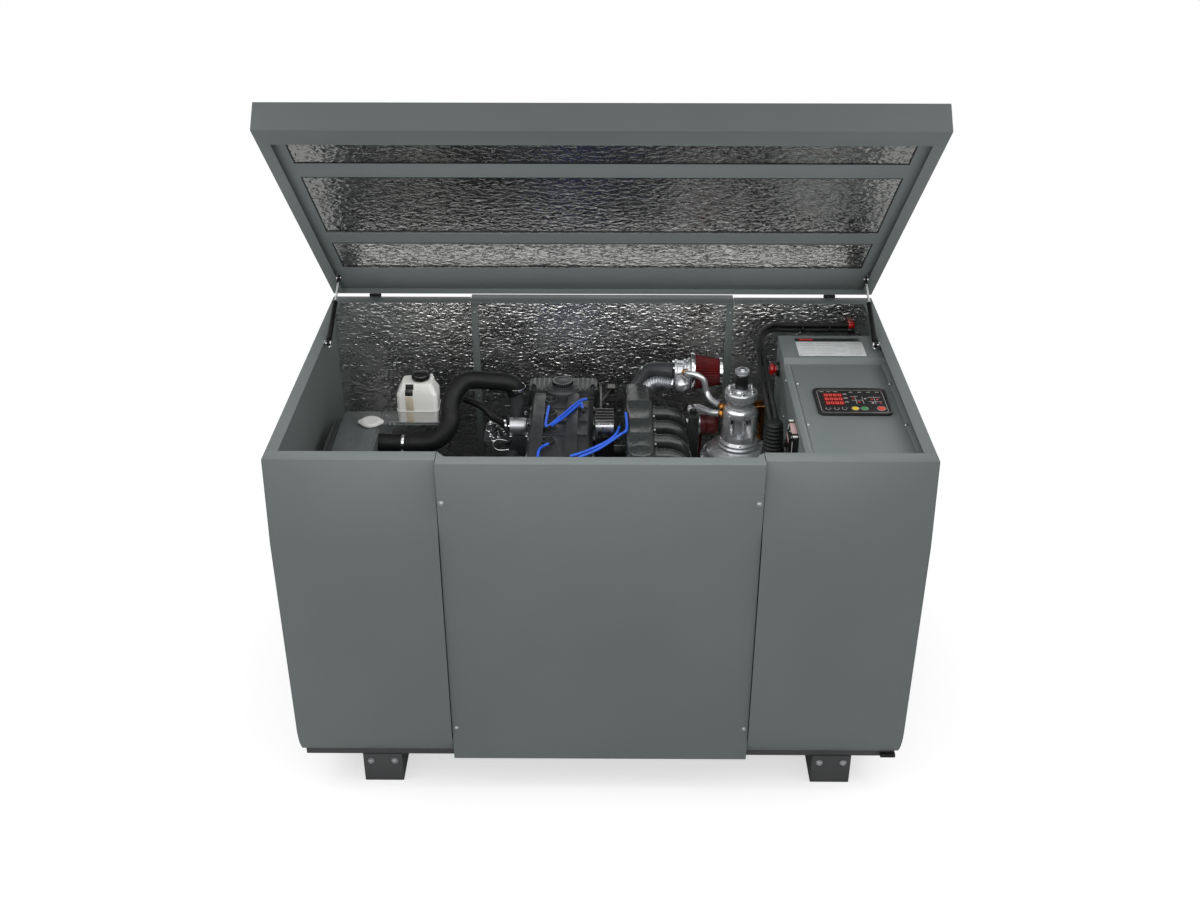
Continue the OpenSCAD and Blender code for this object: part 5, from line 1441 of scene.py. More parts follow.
@dataclass
class GasTrain:
    """The regulator, the gas valve on it, the gas filter and the pipes with their brass unions."""

    flange: float = 0.057
    flange_drop: float = 0.093
    flange_bolts: float = 0.044
    foot_bolts: float = 0.0632
    filter_radius: float = 0.046
    filter_behind: float = 0.110

    def __post_init__(self) -> None:
        """Finds the valve, the regulator and the filter's clamp."""
        valve, plenum = Box.of("gas_valve"), Box.of("intake_plenum")
        self.top = Vector((valve.mid.x, valve.mid.y, valve.hi.z - self.flange_drop))
        self.clamp = places((plenum.mid.x, plenum.hi.y, plenum.hi.z), (186, 0, 37))[0]

    def build(self) -> None:
        """Dresses the gas train's nodes and adds its small pieces."""
        dress_node("gas_valve", Finishes.BRIGHT_ALLOY, 0.0008)
        dress_node("gas_regulator", Finishes.BRIGHT_ALLOY, 0.0012)
        dress_node("gas_filter", Finishes.OXIDE, 0.0008)
        self._pipes()
        self._unions()
        self._valve_bolts()
        self._solenoid()
        self._copper()
        self._filter_details()

    def _routes(self) -> tuple[list[Vector], list[Vector]]:
        """Draws the two gas pipes' routes, from the filter's clamp to the valve's left side.

        Returns:
            The upper route and the lower one.
        """
        port = self.top - Vector((self.flange + 0.0013, 0, 0.053))
        upper = [(-20, -42.5, 19), (-12, -66, 26), (20, -86, 28)]
        upper += [(44, -92, 10), (56, -98, -32), (72, -124, -50)]
        ends = places(port, (-40, 26, -34), (0, 0, -24))
        lower = places(self.clamp, (4, -70, -120), (30, -90, -104)) + ends
        return smooth_route(places(self.clamp, *upper) + [port], 14), smooth_route(lower, 14)

    def _pipes(self) -> None:
        """Adds the two silver gas pipes."""
        shape = Shape("silver_pipes", Finishes.BRIGHT_ALLOY)
        upper, lower = self._routes()
        shape.tube(upper, 0.0108, 24)
        shape.tube(lower, lambda run: 0.0195 - 0.0072 * min(1.0, run / 0.110), 28)
        made = shape.done()
        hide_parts("gas_pipes")

    def _unions(self) -> None:
        """Adds the brass nuts at the pipes' ends."""
        shape = Shape("brass_unions", Finishes.BRASS)
        upper, lower = self._routes()
        tips = ((upper[0], upper[5], 14.5), (upper[-1], upper[-6], 15.5), (lower[-1], lower[-6], 16.0))
        for tip, inner, size in tips:
            at = stand(tip, (inner - tip).normalized())
            nut = mm((0, -1), (size * 0.92, -1), (size, 1), (size, 12), (size * 0.9, 14), (0, 14))
            shape.turned(nut, at, 6)
            shape.turned(mm((0, 14), (size * 0.78, 14), (size * 0.74, 21), (0, 21)), at, 24)
        shape.done(0.0004)

    def _valve_bolts(self) -> None:
        """Adds the bolts of the valve's flange and of its foot."""
        x, y, z = self.top
        bolts = Shape("valve_bolts", Finishes.CHROME)
        for k, (dx, dy) in enumerate(around(6, self.flange_bolts, 30)):
            bolts.bolt(stand((x + dx, y + dy, z + 0.016), spin=13 * k), 0.0058, 0.009)
        foot = Box.of("gas_regulator").hi.z + 0.0063
        for dx, dy in around(4, self.foot_bolts):
            bolts.bolt(stand((x + dx, y + dy, foot)), 0.0042, 0.006, washer=False)
        bolts.done(0.0002)

    def _solenoid(self) -> None:
        """Adds a black sleeve on the solenoid that paints the dark reflection in its chrome body, with its
        terminal, two bands and the nut on top.
        """
        at = stand(self.top)
        dark_reflection_at, low, high = (stand(spot) for spot in places(self.top, (0, 0, 26), (0, 0, 21), (0, 0, 76.5)))
        coil = Shape("solenoid_dark_reflection", Finishes.BLACK_PLASTIC)
        # Black band round the chrome solenoid: painted dark reflection
        coil.ring(0.0212, 0.0228, 0.050, dark_reflection_at, 40)
        coil.block(*mm((-11, -36, 30), (11, -22, 56)), at)
        coil.paint(Finishes.CHROME)
        for band in (low, high):
            coil.ring(0.0212, 0.0240, 0.005, band, 40)
        coil.turned(mm((0, 93), (12, 93), (12, 98.5), (10, 100), (0, 100)), at, 6)
        coil.done(0.0005)

    def _copper(self) -> None:
        """Adds the brass outlet on the valve's right and the copper pipe that falls behind it."""
        shape = Shape("copper_outlet", Finishes.COPPER)
        pipe = [(52, 10, -52), (72, 28, -50), (82, 52, -64), (83, 58, -110), (82, 60, -220), (80, 66, -330)]
        line = smooth_route(places(self.top, *pipe), 10)
        shape.tube(line, 0.011, 24)
        shape.paint(Finishes.BRASS)
        shape.turned(drum(0.0165, 0.016, 0.001), stand(line[2], line[5] - line[2]), 6)
        shape.turned(drum(0.0042, 0.034, 0.0006), stand(places(self.top, (55, -6, -46))[0], RIGHT), 16)
        shape.done(0.0003)

    def _filter_details(self) -> None:
        """Adds the band and the nut of the gas filter."""
        box = Box.of("gas_filter")
        middle = Vector((box.lo.x, self.top.y + self.filter_behind, box.hi.z - 0.050))
        band, nut = places(middle, (27, 0, 0), (0.2, 0, 0))
        shape = Shape("gas_filter_band", Finishes.ZINC)
        shape.clamp(stand(band, RIGHT), self.filter_radius + 0.0002, 0.013)
        shape.turned(mm((0, 0), (12, 0), (12, 8), (9, 14), (0, 14)), stand(nut, LEFT), 6)
        shape.done(0.0003)


# ---------------------------------------------------------------- cooling


@dataclass
class Cooling:
    """The radiator, the expansion tank on its bracket and the hoses."""

    fin_rows: int = 46
    fin_pitch: float = 0.0075
    fin_depth: float = 0.0028
    tube_depth: float = 0.0035
    tube_thick: float = 0.0022
    header: float = 0.086
    hose: float = 0.0325
    thin_hose: float = 0.012
    hose_gap: float = 0.040
    wall: float = 0.0025
    level_slope: float = -19.5

    def __post_init__(self) -> None:
        """Finds the radiator, the tank and the engine's outlet."""
        self.tank = Box.of("expansion_tank")
        self.left, self.foot = Box.of("air_duct").hi.x + 0.0003, 0.199
        self.side = self.left + 0.143
        self.top = self.tank.lo.z - 0.0043
        self.past = self.tank.hi.x - self.wall
        radiator, cover = Box.of("radiator"), Box.of("valve_cover")
        self.y0, self.y1 = radiator.lo.y, radiator.hi.y
        corner = (cover.mid.x, cover.hi.y, cover.lo.z)
        self.outlet, self.sender = places(corner, (-166, -175, 108), (-187.3, -255, 13))

    def build(self) -> None:
        """Dresses the cooling nodes and adds their small pieces."""
        dress_node("radiator", Finishes.HEADER, 0.0015)
        dress_node("air_duct", Finishes.BASE, 0.0005)
        dress_node("expansion_tank", Finishes.WHITE, 0.002, 3)
        self._fins()
        self._cap()
        self._tank_cap()
        self._level_strip()
        self._ledge()
        self._hoses()
        self._hose_clamps()

    def _fins(self) -> None:
        """Adds the flat tubes and folded fins on both faces of the core."""
        shape = Shape("cooling_fins", Finishes.COOLER)
        z0, z1 = self.foot + self.header, self.top - self.header
        y0, y1 = self.y0 + 0.015, self.y1 - 0.015
        pitch = (z1 - z0) / self.fin_rows
        count = int((y1 - y0) / self.fin_pitch)
        for x, out in ((self.left + 0.030, -1), (self.side - 0.043, 1)):
            a, b = sorted((x, x + out * self.tube_depth))
            for z in (z0 + row * pitch for row in range(self.fin_rows)):
                shape.block((a, y0, z), (b, y1, z + self.tube_thick))
                points = []
                for k in range(count + 1):
                    y, h = y0 + k * self.fin_pitch, z + (pitch if k % 2 else self.tube_thick)
                    points += [(x, y, h), (x + out * self.fin_depth, y, h)]
                shape.add(points, [(2 * k, 2 * k + 1, 2 * k + 3, 2 * k + 2) for k in range(count)])
        shape.done()

    def _cap(self) -> None:
        """Adds the pale pressure cap with its two ears."""
        at = stand((self.left + 0.112, self.y1 - 0.104, self.top + 0.0068))
        shape = Shape("radiator_cap", Finishes.WHITE)
        outline = []
        for x, y in around(48, 0.0375):
            ear = max(0.0, abs(x / 0.0375) - 0.80) / 0.20
            outline.append((x + 0.0085 * ear * ear * x / 0.0375, y))
        shape.prism(outline, 0.0076, at)
        shape.turned(mm((0, 7.6), (36, 7.6), (34, 10), (22, 11.2), (20, 10.4), (0, 11.2)), at, 40)
        shape.done(0.0016)

    def _tank_cap(self) -> None:
        """Adds the tank's black cap, with its grip and its bar."""
        cap = Shape("tank_cap", Finishes.BLACK_PLASTIC)
        at = stand(places(self.tank.lo, (86.5, 50.5, 149))[0])
        profile = mm((0, 5.2), (29.6, 5.2), (30.4, 7), (30.4, 21), (28, 25.2), (22, 26.2), (0, 26.2))
        cap.turned(profile, at, 40)
        for k in range(20):
            rib = at @ Matrix.Rotation(2 * math.pi * k / 20, 4, "Z")
            cap.block(*mm((29.8, -1.4, 7.5), (31.8, 1.4, 20.5)), rib)
        cap.block(*mm((-20, -4, 26), (20, 4, 30.5)), at)
        cap.done(0.0008)

    def _level_strip(self) -> None:
        """Adds the strip that shows the tank's level, and its dark end on the sloping shoulder."""
        strip = Shape("level_strip", Finishes.CREAM)
        corner = self.tank.lo + Vector((self.wall, self.wall, 0))
        strip.blocks(corner, ((32, -1.2, 4), (59, 0.4, 45.5)), ((32, -1.2, 51.5), (59, 0.4, 106)))
        slope = Matrix.Rotation(math.radians(self.level_slope), 4, "X")
        shoulder = Matrix.Translation((corner.x, corner.y, corner.z + 0.110)) @ slope
        strip.paint(Finishes.BLACK_PLASTIC).block(*mm((32, -1.2, 0), (59, 0.6, 22)), shoulder)
        strip.paint(Finishes.RUBBER).block(*mm((34, -1.2, 22.5), (62, 0.6, 41)), shoulder)
        strip.done(0.0004)

    def _ledge(self) -> None:
        """Adds the ledge that carries the tank, with its bolts."""
        t, z = self.tank, self.top + 0.0042
        pad = Shape("tank_ledge", Finishes.ZINC)
        pad.block((self.side + 0.03, t.lo.y + 0.001, z), (t.hi.x, t.lo.y + 0.010, self.top + 0.0100))
        for x in (self.side + 0.036, self.side + 0.052):
            pad.bolt(stand((x, t.lo.y - 0.003, z)), 0.0042, 0.006)
        pad.bolt(stand((self.side + 0.018, t.mid.y, z)), 0.006, 0.008)
        pad.done(0.0005)

    def _route(self, *parts: Point) -> list[Vector]:
        """Places the part of a hose's route that lies past the tank.

        Args:
            parts: Each point's share of the way to the outlet, its depth and its height over the radiator.

        Returns:
            The route's points.
        """
        rise = self.past + self.hose_gap
        return [Vector((rise + p * (self.outlet.x - rise), y, self.top + z)) for p, y, z in parts]

    def _lines(self) -> tuple[list[Vector], list[Vector]]:
        """Draws the hoses' routes, from the radiator and from the tank to the engine.

        Returns:
            The large hose's route and the thin one's.
        """
        o, top = self.outlet, self.top
        y, up = MID_DEPTH + 0.117, self.outlet.z - self.top
        large = [Vector((self.side + 0.0003, y, top - 0.050))]
        large.append(Vector((self.side + 0.48 * (self.past - self.side), y, top - 0.054)))
        large.append(Vector((self.past - 0.013, y + 0.005, top - 0.046)))
        large += self._route((0, y + 0.033, 0.006), (0.02, y + 0.088, 0.076), (0.23, y + 0.138, 0.124))
        large += self._route((0.6, o.y, up + 0.046), (0.92, o.y, up + 0.036)) + places(o, (0, 0, 0.3))
        thin = self._route((0.17, o.y + 0.023, 0.030), (0.44, o.y, 0.012), (0.65, o.y - 0.024, -0.024))
        return smooth_route(large, 12), smooth_route(thin + [self.sender], 12)

    def _hoses(self) -> None:
        """Adds the smooth rubber hoses."""
        large, thin = self._lines()
        shape = Shape("rubber_hoses", Finishes.HOSE)
        shape.tube(large, self.hose, 36)
        shape.tube(thin, self.thin_hose, 20)
        made = shape.done()
        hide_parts("coolant_hoses")

    def _hose_clamps(self) -> None:
        """Adds the worm-drive clamps near the hoses' ends."""
        large, thin = self._lines()
        shape = Shape("hose_clamps", Finishes.CHROME)
        start, end = places(large[0], (80, 0, -3.5)) + places(large[-1], (0, 0, 12))
        small = places(thin[-1], (-16, 0, 0))[0]
        shape.clamp(stand(start, (1, 0, -0.03), 215), self.hose + 0.0003, 0.010)
        shape.clamp(stand(end, (0, 0, 1), 250), self.hose + 0.0006, 0.012)
        shape.clamp(stand(small, (1, 0, 0.25), 60), self.thin_hose + 0.0006, 0.008)
        shape.done(0.0002)


# ---------------------------------------------------------------- controls


class Button(Enum):
    """The controller's round buttons: place across and down its face, radius and finish."""

    STOP = (0.13, 0.80, 0.0068, Finishes.BLACK_STEEL)
    TEST = (0.25, 0.80, 0.0068, Finishes.BLACK_STEEL)
    HAND = (0.36, 0.80, 0.0068, Finishes.BLACK_STEEL)
    AUTO = (0.515, 0.80, 0.0105, Finishes.YELLOW)
    START = (0.645, 0.80, 0.0105, Finishes.GREEN)
    FAULT = (0.885, 0.80, 0.0125, Finishes.ORANGE)


@dataclass
class ControlCabinet:
    """The cabinet with its control panel, the controller, the breaker and the emergency stop."""

    width: float = 0.3727
    panel_drop: float = 0.016
    bezel: float = 0.007
    sunk: float = 0.003
    line: float = 0.0004
    display: tuple[float, float] = (0.062, 0.0205)

    def __post_init__(self) -> None:
        """Finds the cabinet and its controller."""
        box = Box.of("control_cabinet")
        self.left = box.hi.x - self.width
        self.top = box.hi.z
        self.front = box.lo.y
        self.back = box.hi.y
        self.panel = self.top - self.panel_drop
        self.corner = Vector((self.left, self.front, self.panel))
        self.face = Box.of("controller")

    def build(self) -> None:
        """Dresses the cabinet's nodes and adds its small pieces."""
        dress_node("control_cabinet", Finishes.HOUSING, 0.0012)
        dress_node("controller", Finishes.BLACK_PLASTIC, 0.0012)
        dress_node("emergency_stop", Finishes.RED, 0.0012)
        self._screws()
        self._plate()
        self._controller_face()
        self._stop_base()
        self._breaker()
        self._cable_box()

    def _screws(self) -> None:
        """Adds the panel's and the side door's screws."""
        shape = Shape("panel_fixings", Finishes.ZINC)
        for x in (0.653, 0.960):
            for y in (-0.024, -0.308):
                shape.dome_screw(stand((x, MID_DEPTH + y, self.panel)), 0.0048)
        door = MID_DEPTH + 0.043
        spots = [(door, 0.022), (door, 0.16), (self.front + 0.06, 0.42), (self.back - 0.06, 0.42)]
        for y, drop in spots:
            shape.dome_screw(stand((self.left, y, self.panel - drop), LEFT), 0.0045)
        shape.done()

    def _plate(self) -> None:
        """Adds the bare data plate, ruled into columns, and the dark strip behind it."""
        base = Vector((0.680, MID_DEPTH + 0.158, self.top))
        wide, deep = 0.232, 0.112
        shape = Shape("data_plate", Finishes.PLATE)
        shape.prism(rounded(wide, deep, 0.004), 0.0014, stand(places(base, (116, 56, -0.2))[0]))
        shape.paint(Finishes.INK)
        for k in range(7):
            y = 96 - 13.5 * k
            for a, b in ((10, 60), (70, 118), (128, 166), (176, 222)):
                if (k + a // 10) % 3:
                    shape.blocks(base, ((a, y, 1.1), (b, y + 1.6, 1.4)))
        shape.paint(Finishes.BLACK_PLASTIC).blocks(base, ((0, 118, -0.2), (228, 140, 1.2)))
        shape.paint(Finishes.RED).blocks(base, ((14, 124, 1), (62, 135, 1.5)))
        shape.paint(Finishes.ZINC)
        for spot in places(base, (6, 6, 1.2), (6, 106, 1.2), (226, 6, 1.2), (226, 106, 1.2)):
            shape.turned(mm((0, 0), (2.6, 0), (1.8, 1.2), (0, 1.4)), stand(spot), 12)
        shape.done(0.0002)

    def _on_face(self, across: float, down: float) -> Vector:
        """Finds a place on the controller's sunk face.

        Args:
            across: The share of its width.
            down: The share of its depth, from the back.

        Returns:
            The place.
        """
        lo, hi, rim = self.face.lo, self.face.hi, self.bezel
        w, d = hi.x - lo.x - 2 * rim, hi.y - lo.y - 2 * rim
        return Vector((lo.x + rim + across * w, hi.y - rim - down * d, hi.z - self.sunk))

    def _controller_face(self) -> None:
        """Adds the controller's border line, displays, lamps, mimic lines and buttons."""
        shape = Shape("controller_face", Finishes.BLACK_PLASTIC)
        self._border(shape)
        for k in range(3):
            self._display(shape, self._on_face(0.245, 0.255 + 0.165 * k))
        shape.paint(Finishes.PALE_INK)
        for k in range(3):
            spot = self._on_face(0.42, 0.215 + 0.165 * k)
            shape.blocks(spot, ((-7, -0.9, 0), (7, 0.9, 0.4)), ((-3, 4.5, 0), (7, 5.9, 0.4)))
        self._mimic(shape)
        for across, down, radius, finish in (button.value for button in Button):
            at = stand(self._on_face(across, down))
            shape.paint(Finishes.PALE_INK).ring(radius + 0.0008, radius + 0.0018, 0.0005, at, 32)
            head = [(0, 0), (radius, 0), (radius, 0.0012), (radius * 0.8, 0.0022), (0, 0.0026)]
            shape.paint(finish).turned(head, at, 28)
        shape.done()

    def _border(self, shape: Shape) -> None:
        """Adds the pale line round the controller's face.

        Args:
            shape: The piece that gets it.
        """
        wide, deep = self.face.size.x - 0.026, self.face.size.y - 0.026
        outer, inner = rounded(wide, deep, 0.013), rounded(wide - 0.0022, deep - 0.0022, 0.012)
        n = len(outer)
        faces = [(k, (k + 1) % n, n + (k + 1) % n, n + k) for k in range(n)]
        points = [(x, y, self.line) for x, y in outer + inner]
        shape.paint(Finishes.PALE_INK).add(points, faces, stand(self._on_face(0.5, 0.5)))

    def _display(self, shape: Shape, middle: Vector) -> None:
        """Adds one display: a dark red window with four lit noughts.

        Args:
            shape: The piece that gets it.
            middle: The middle of the window.
        """
        width, depth = self.display
        half = (width * 500, depth * 500)
        shape.paint(Finishes.WINDOW).blocks(middle, ((-half[0], -half[1], 0), (*half, 1.2)))
        shape.paint(Finishes.DIGIT)
        for x in ((k - 1.5) * width * 235 for k in range(4)):
            for a, b, c, d in (
                (-3.6, -6.6, 3.6, -5.4),
                (-3.6, 5.4, 3.6, 6.6),
                (-4.6, -5.6, -3.6, -0.6),
                (-4.6, 0.6, -3.6, 5.6),
                (3.6, -5.6, 4.6, -0.6),
                (3.6, 0.6, 4.6, 5.6),
            ):
                shape.blocks(middle, ((x + a, b, 1.1), (x + c, d, 1.5)))

    def _mimic(self, shape: Shape) -> None:
        """Adds the lines and lamps that show the set's state.

        Args:
            shape: The piece that gets them.
        """
        shape.paint(Finishes.PALE_INK)
        lines = [(0.56, 0.30, 0.56, 0.62), (0.50, 0.46, 0.66, 0.46), (0.66, 0.32, 0.66, 0.60)]
        lines += [(0.74, 0.34, 0.92, 0.34), (0.74, 0.52, 0.92, 0.52)]
        lines += [(0.83, 0.30, 0.83, 0.62), (0.50, 0.30, 0.60, 0.30)]
        for x0, y0, x1, y1 in lines:
            a, b = self._on_face(x0, y1), self._on_face(x1, y0)
            shape.block(*places(a, (-0.6, -0.6, 0)), *places(b, (0.6, 0.6, self.line * 1000)))
        lamps = [(0.53, 0.36), (0.60, 0.54), (0.70, 0.40), (0.79, 0.43)]
        lamps += [(0.87, 0.43), (0.79, 0.58), (0.90, 0.58)]
        for k, spot in enumerate(lamps):
            finish = (Finishes.RED, Finishes.ORANGE, Finishes.PALE_INK)[k % 3]
            shape.paint(finish).blocks(self._on_face(*spot), ((-3.4, -2.4, 0), (3.4, 2.4, 1.1)))
        shape.paint(Finishes.PALE_INK)
        for x in (0.52, 0.645, 0.775, 0.9):
            shape.blocks(self._on_face(x, 0.12), ((-6, -1.2, 0), (6, 1.2, 0.4)))
        for x in (0.1, 0.2, 0.3):
            shape.blocks(self._on_face(x, 0.1), ((-7, -0.8, 0), (7, 0.8, 0.4)))

    def _stop_base(self) -> None:
        """Adds the dark base ring and the guard plate of the emergency stop."""
        middle = Box.of("emergency_stop").mid
        at = stand((self.left, middle.y, middle.z), LEFT)
        shape = Shape("stop_base", Finishes.BLACK_PLASTIC)
        for outer, width in ((0.0245, 0.011), (0.0285, 0.0022)):
            shape.ring(0.0185, outer, width, at, 44)
        shape.done(0.0004)

    def _breaker(self) -> None:
        """Adds the breaker's face, toggle, terminal covers and sleeves."""
        corner = self.corner
        shape = Shape("breaker", Finishes.BLACK_PLASTIC)
        shape.blocks(
            corner,
            ((-18.8, 265.2, -146.8), (-0.2, 394.8, -43.2)),
            ((-26.8, 299.2, -130.8), (-17, 360.8, -59.2)),
            ((-40, 320, -104), (-26, 340, -86)),
        )
        sleeves = ((-19, 298, -43), (-1.2, 366, -40)), ((-27.2, 304, -80), (-26.4, 356, -64))
        shape.paint(Finishes.SLEEVE).blocks(corner, *sleeves)
        shape.paint(Finishes.WHITE)
        for y in (282, 322, 362):
            shape.blocks(corner, ((-19.6, y, -142), (-18.6, y + 18, -134)))
        for y in (272, 380):
            shape.blocks(corner, ((-19.6, y, -120), (-18.6, y + 6, -60)))
            shape.blocks(corner, ((-18, y + 1, -43), (-3, y + 9, -40.2)))
        shape.paint(Finishes.ZINC)
        for spot in places(corner, (-18.8, 291, -51), (-18.8, 331, -51), (-18.8, 371, -51)):
            shape.dome_screw(stand(spot, LEFT), 0.0035)
        shape.done(0.0008)

    def _cable_box(self) -> None:
        """Adds the cable box under the boot, with its lid screws."""
        shape = Shape("cable_box", Finishes.BLACK_PLASTIC)
        shape.blocks(self.corner, ((-86.8, 429.2, -330.8), (-0.2, 516.8, -230.2)))
        shape.paint(Finishes.ZINC)
        for y in (438, 508):
            for z in (-320, -242):
                shape.dome_screw(stand(places(self.corner, (-86.8, y, z))[0], LEFT), 0.0032)
        shape.done(0.0012)


@dataclass
class PowerCables:
    """The two power cables, from their red terminal caps along the rear wall down into the ribbed boot."""

    radius: float = 0.009
    apart: float = 0.020
    ribs: int = 9

    def build(self) -> None:
        """Adds the cables, their boot and their caps in place of the plain node."""
        cabinet = ControlCabinet()
        rear = Box.of("rear_lining").lo.y - 0.0093
        self.start = Vector((cabinet.left, rear, cabinet.panel - 0.074))
        foot = places(cabinet.corner, (-50, 480, -229.7))[0]
        self._cables(foot, cabinet.back)
        self._boot(foot)
        self._caps()
        self._ties()

    def _cables(self, foot: Vector, back: float) -> None:
        """Adds the two cables.

        Args:
            foot: The middle of the boot's foot.
            back: The cabinet's back.
        """
        shape = Shape("power_cables_pair", Finishes.RUBBER)
        for k in (0, 1):
            d = self.apart * 1000 * k
            wall = places(self.start, (298, 0, d), (76, 0, d), (16, -6, 3 + d))
            wall += places(self.start, (-28 - 6 * k, -72, 14 + 17 * k))
            side = (self.start.x, back, self.start.z)
            fall = places(side, (-50 - 10 * k, 56, 32 + 8 * k), (-54 - d, -124, 34), (-54 - d, -264, 20))
            end = places((foot.x, foot.y, self.start.z), (9 - d, 40, -40), (9 - d, 0, -98))
            shape.tube(smooth_route(wall + fall + end, 14), self.radius, 24)
        made = shape.done()
        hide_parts("power_cables")

    def _boot(self, foot: Vector) -> None:
        """Adds the ribbed rubber boot.

        Args:
            foot: The middle of its foot.
        """
        shape = Shape("cable_boot", Finishes.RUBBER)
        profile = [(0, 0), (38.5, 0), (39, 1), (39, 4)]
        for i in range(self.ribs):
            s, h = 1.3 * i, 4 + 13.5 * i
            profile += [(34.5 - s, h + 2), (34.5 - s, h + 5.8), (39 - s, h + 8.2), (39 - s, h + 12.2)]
        profile += [(24.5, 128.5), (23.5, 133), (0, 133)]
        shape.turned(mm(*profile), stand(foot), 48)
        shape.done(0.0006)

    def _caps(self) -> None:
        """Adds the terminal caps, red above and black below, with their rings."""
        shape = Shape("terminal_caps", Finishes.RED)
        cap = mm((0, 0), (11.2, 0), (12, 1), (12, 19), (10.5, 21.6), (6, 22), (0, 22))
        for finish, up in ((Finishes.RED, self.apart * 1000), (Finishes.BLACK_PLASTIC, 0)):
            foot, ring = places(self.start, (293, 0, up), (297, 0, up))
            shape.paint(finish).turned(cap, stand(foot, RIGHT), 28)
            shape.ring(0.0119, 0.0127, 0.003, stand(ring, RIGHT), 32)
        shape.done()

    def _ties(self) -> None:
        """Adds the two ties that hold the cables together."""
        ties = Shape("cable_ties", Finishes.BLACK_PLASTIC)
        for spot in places(self.start, (120, 0, 10), (220, 0, 10)):
            ties.prism(rounded(0.0215, 0.0425, 0.0105), 0.004, stand(spot, RIGHT, 90))
        ties.done(0.0004)


# ---------------------------------------------------------------- studio


@dataclass
class Lamp:
    """A soft lamp: a glowing rectangle that faces the set."""

    name: str
    at: tuple[float, float, float]
    aim: tuple[float, float, float]
    size: tuple[float, float]
    watts: float

    def build(self) -> None:
        """Adds the lamp to the scene."""
        data = bpy.data.lights.new(self.name, "AREA")
        data.shape = "RECTANGLE"
        data.size, data.size_y = self.size
        data.energy = self.watts
        lamp = bpy.data.objects.new(self.name, data)
        lamp.location = self.at
        lamp.visible_camera = False
        lamp.rotation_euler = (Vector(self.aim) - Vector(self.at)).to_track_quat("-Z", "Y").to_euler()
        bpy.context.scene.collection.objects.link(lamp)


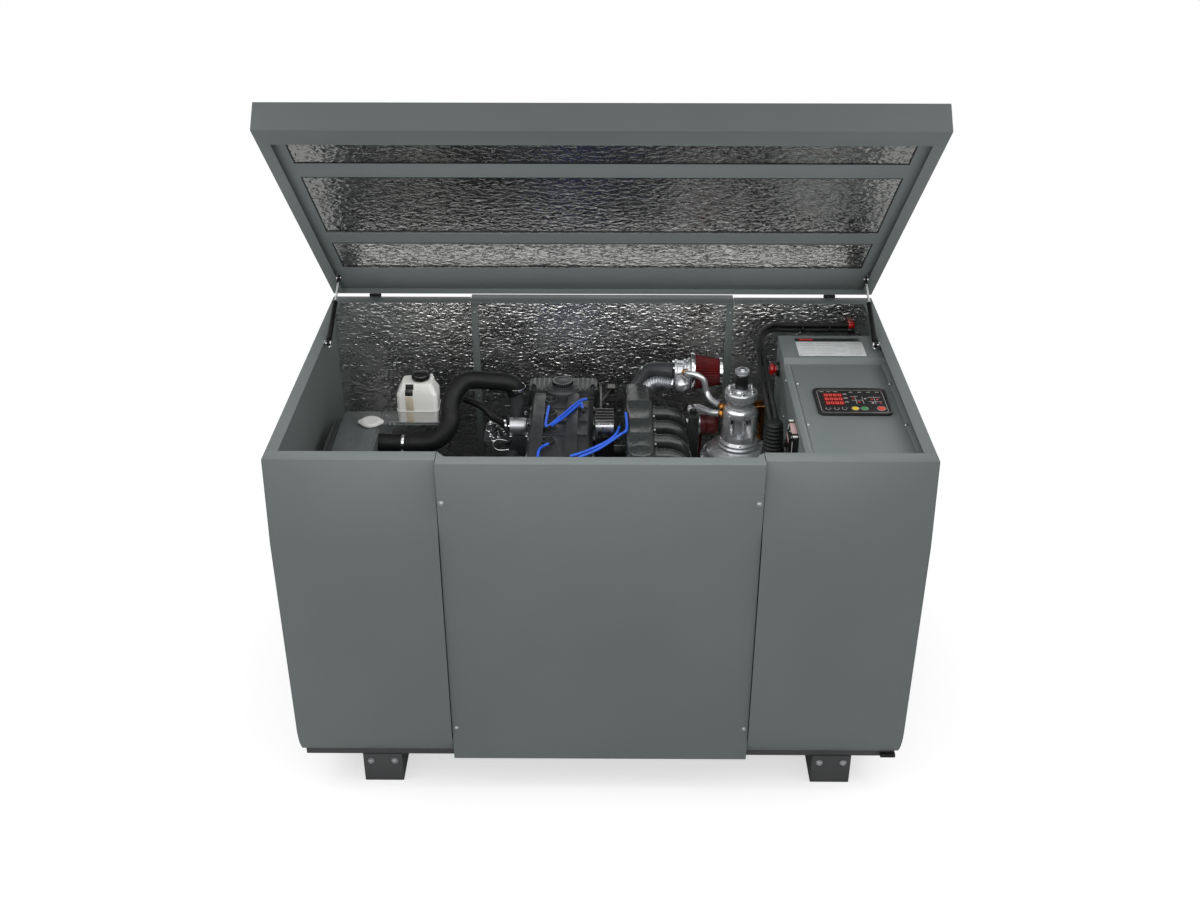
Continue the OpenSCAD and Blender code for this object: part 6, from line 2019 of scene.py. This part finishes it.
@dataclass
class Studio:
    """Floor, even light and the camera."""

    level: float = 0.5
    floor_reach: float = 40.0
    floor_tone: float = 0.8
    floor_lift: float = 0.6
    focal: float = 40.64
    sensor: float = 36.0
    tilt: float = 29.66
    pan: float = -0.35
    roll: float = -0.03
    height: float = 3.2717
    aside: float = 0.01925
    away: float = 4.0549
    sight: float = 200.0

    def build(self) -> None:
        """Sets up the floor, the world, the lamps and the camera."""
        bpy.context.scene.view_settings.view_transform = "Standard"
        self._floor()
        self._world()
        for lamp in (
            Lamp("low_front_softbox", (-0.6, -5.2, 0.9), (0.0, -0.3, 1.3), (5.0, 1.6), 41),
            Lamp("left_softbox", (-3.4, -0.9, 3.1), (0.0, 0.1, 1.1), (1.8, 1.8), 20),
            Lamp("right_softbox", (3.4, -0.9, 3.1), (0.0, 0.1, 1.1), (1.8, 1.8), 20),
            Lamp("opening_strip", (0.0, -0.62, 1.68), (0.0, 0.5, 1.05), (1.8, 0.5), 5.5),
            Lamp("lid_strip", (0.0, 0.02, 1.82), (0.0, -0.05, 0.8), (1.7, 0.4), 2.6),
            Lamp("hinge_strip", (0.0, 0.46, RIM + 0.015), (0.0, 0.48, RIM + 0.5), (1.8, 0.08), 0.4),
        ):
            lamp.build()
        self._camera()

    def _floor(self) -> None:
        """Adds the pale floor, which keeps the set's shadow."""
        mesh = bpy.data.meshes.new("floor")
        r, tone = self.floor_reach, self.floor_tone
        mesh.from_pydata([(-r, -r, 0), (r, -r, 0), (r, r, 0), (-r, r, 0)], [], [(0, 1, 2, 3)])
        floor = bpy.data.objects.new("floor", mesh)
        bpy.context.scene.collection.objects.link(floor)
        paint = bpy.data.materials.new("pale_floor")
        paint.use_nodes = True
        tree = paint.node_tree
        tree.nodes.clear()
        matt = add_node(tree, "ShaderNodeBsdfDiffuse", {"Color": (tone, tone, tone, 1)})
        seen = add_node(tree, "ShaderNodeLightPath").outputs["Is Camera Ray"]
        share = add_node(tree, "ShaderNodeMath", {1: self.floor_lift}, {0: seen}, operation="MULTIPLY")
        lift = add_node(tree, "ShaderNodeEmission", links={"Strength": share.outputs[0]})
        both = add_node(tree, "ShaderNodeAddShader", links={0: matt.outputs[0], 1: lift.outputs[0]})
        add_node(tree, "ShaderNodeOutputMaterial", links={"Surface": both.outputs[0]})
        mesh.materials.append(paint)

    def _world(self) -> None:
        """Lights the set evenly and shows white wherever nothing stands."""
        world = bpy.data.worlds.new("even_light")
        bpy.context.scene.world = world
        world.use_nodes = True
        tree = world.node_tree
        tree.nodes.clear()
        ray = add_node(tree, "ShaderNodeLightPath").outputs
        seen = {0: ray["Is Camera Ray"], 1: ray["Is Glossy Ray"]}
        seen = {0: add_node(tree, "ShaderNodeMath", None, seen, operation="MAXIMUM").outputs[0]}
        seen[1] = ray["Is Transmission Ray"]
        shown = add_node(tree, "ShaderNodeMath", None, seen, operation="MAXIMUM").outputs[0]
        level = add_node(tree, "ShaderNodeMapRange", {"To Min": self.level, "To Max": 1.0}, {"Value": shown})
        wires = {"Strength": level.outputs["Result"]}
        back = add_node(tree, "ShaderNodeBackground", {"Color": (1, 1, 1, 1)}, wires)
        add_node(tree, "ShaderNodeOutputWorld", links={"Surface": back.outputs[0]})

    def _camera(self) -> None:
        """Adds the camera, in front of the set and above it."""
        data = bpy.data.cameras.new("camera")
        data.lens = self.focal
        data.sensor_width = self.sensor
        data.clip_end = self.sight
        camera = bpy.data.objects.new("camera", data)
        camera.location = (self.aside, MID_DEPTH - self.away, self.height)
        camera.rotation_euler = [math.radians(a) for a in (90 - self.tilt, self.roll, -self.pan)]
        bpy.context.scene.collection.objects.link(camera)
        bpy.context.scene.camera = camera


def main() -> None:
    """Builds the studio and every part of the set."""
    logging.basicConfig(level=logging.INFO, format="%(message)s")
    Studio().build()
    parts = [Housing(), Lid(), GasStrut("left"), GasStrut("right"), Engine(), Intake(), GasTrain(), Cooling()]
    parts += [ControlCabinet(), PowerCables()]
    for part in parts:
        part.build()
        log.info("%s is dressed", type(part).__name__)


if __name__ == "__main__":
    main()
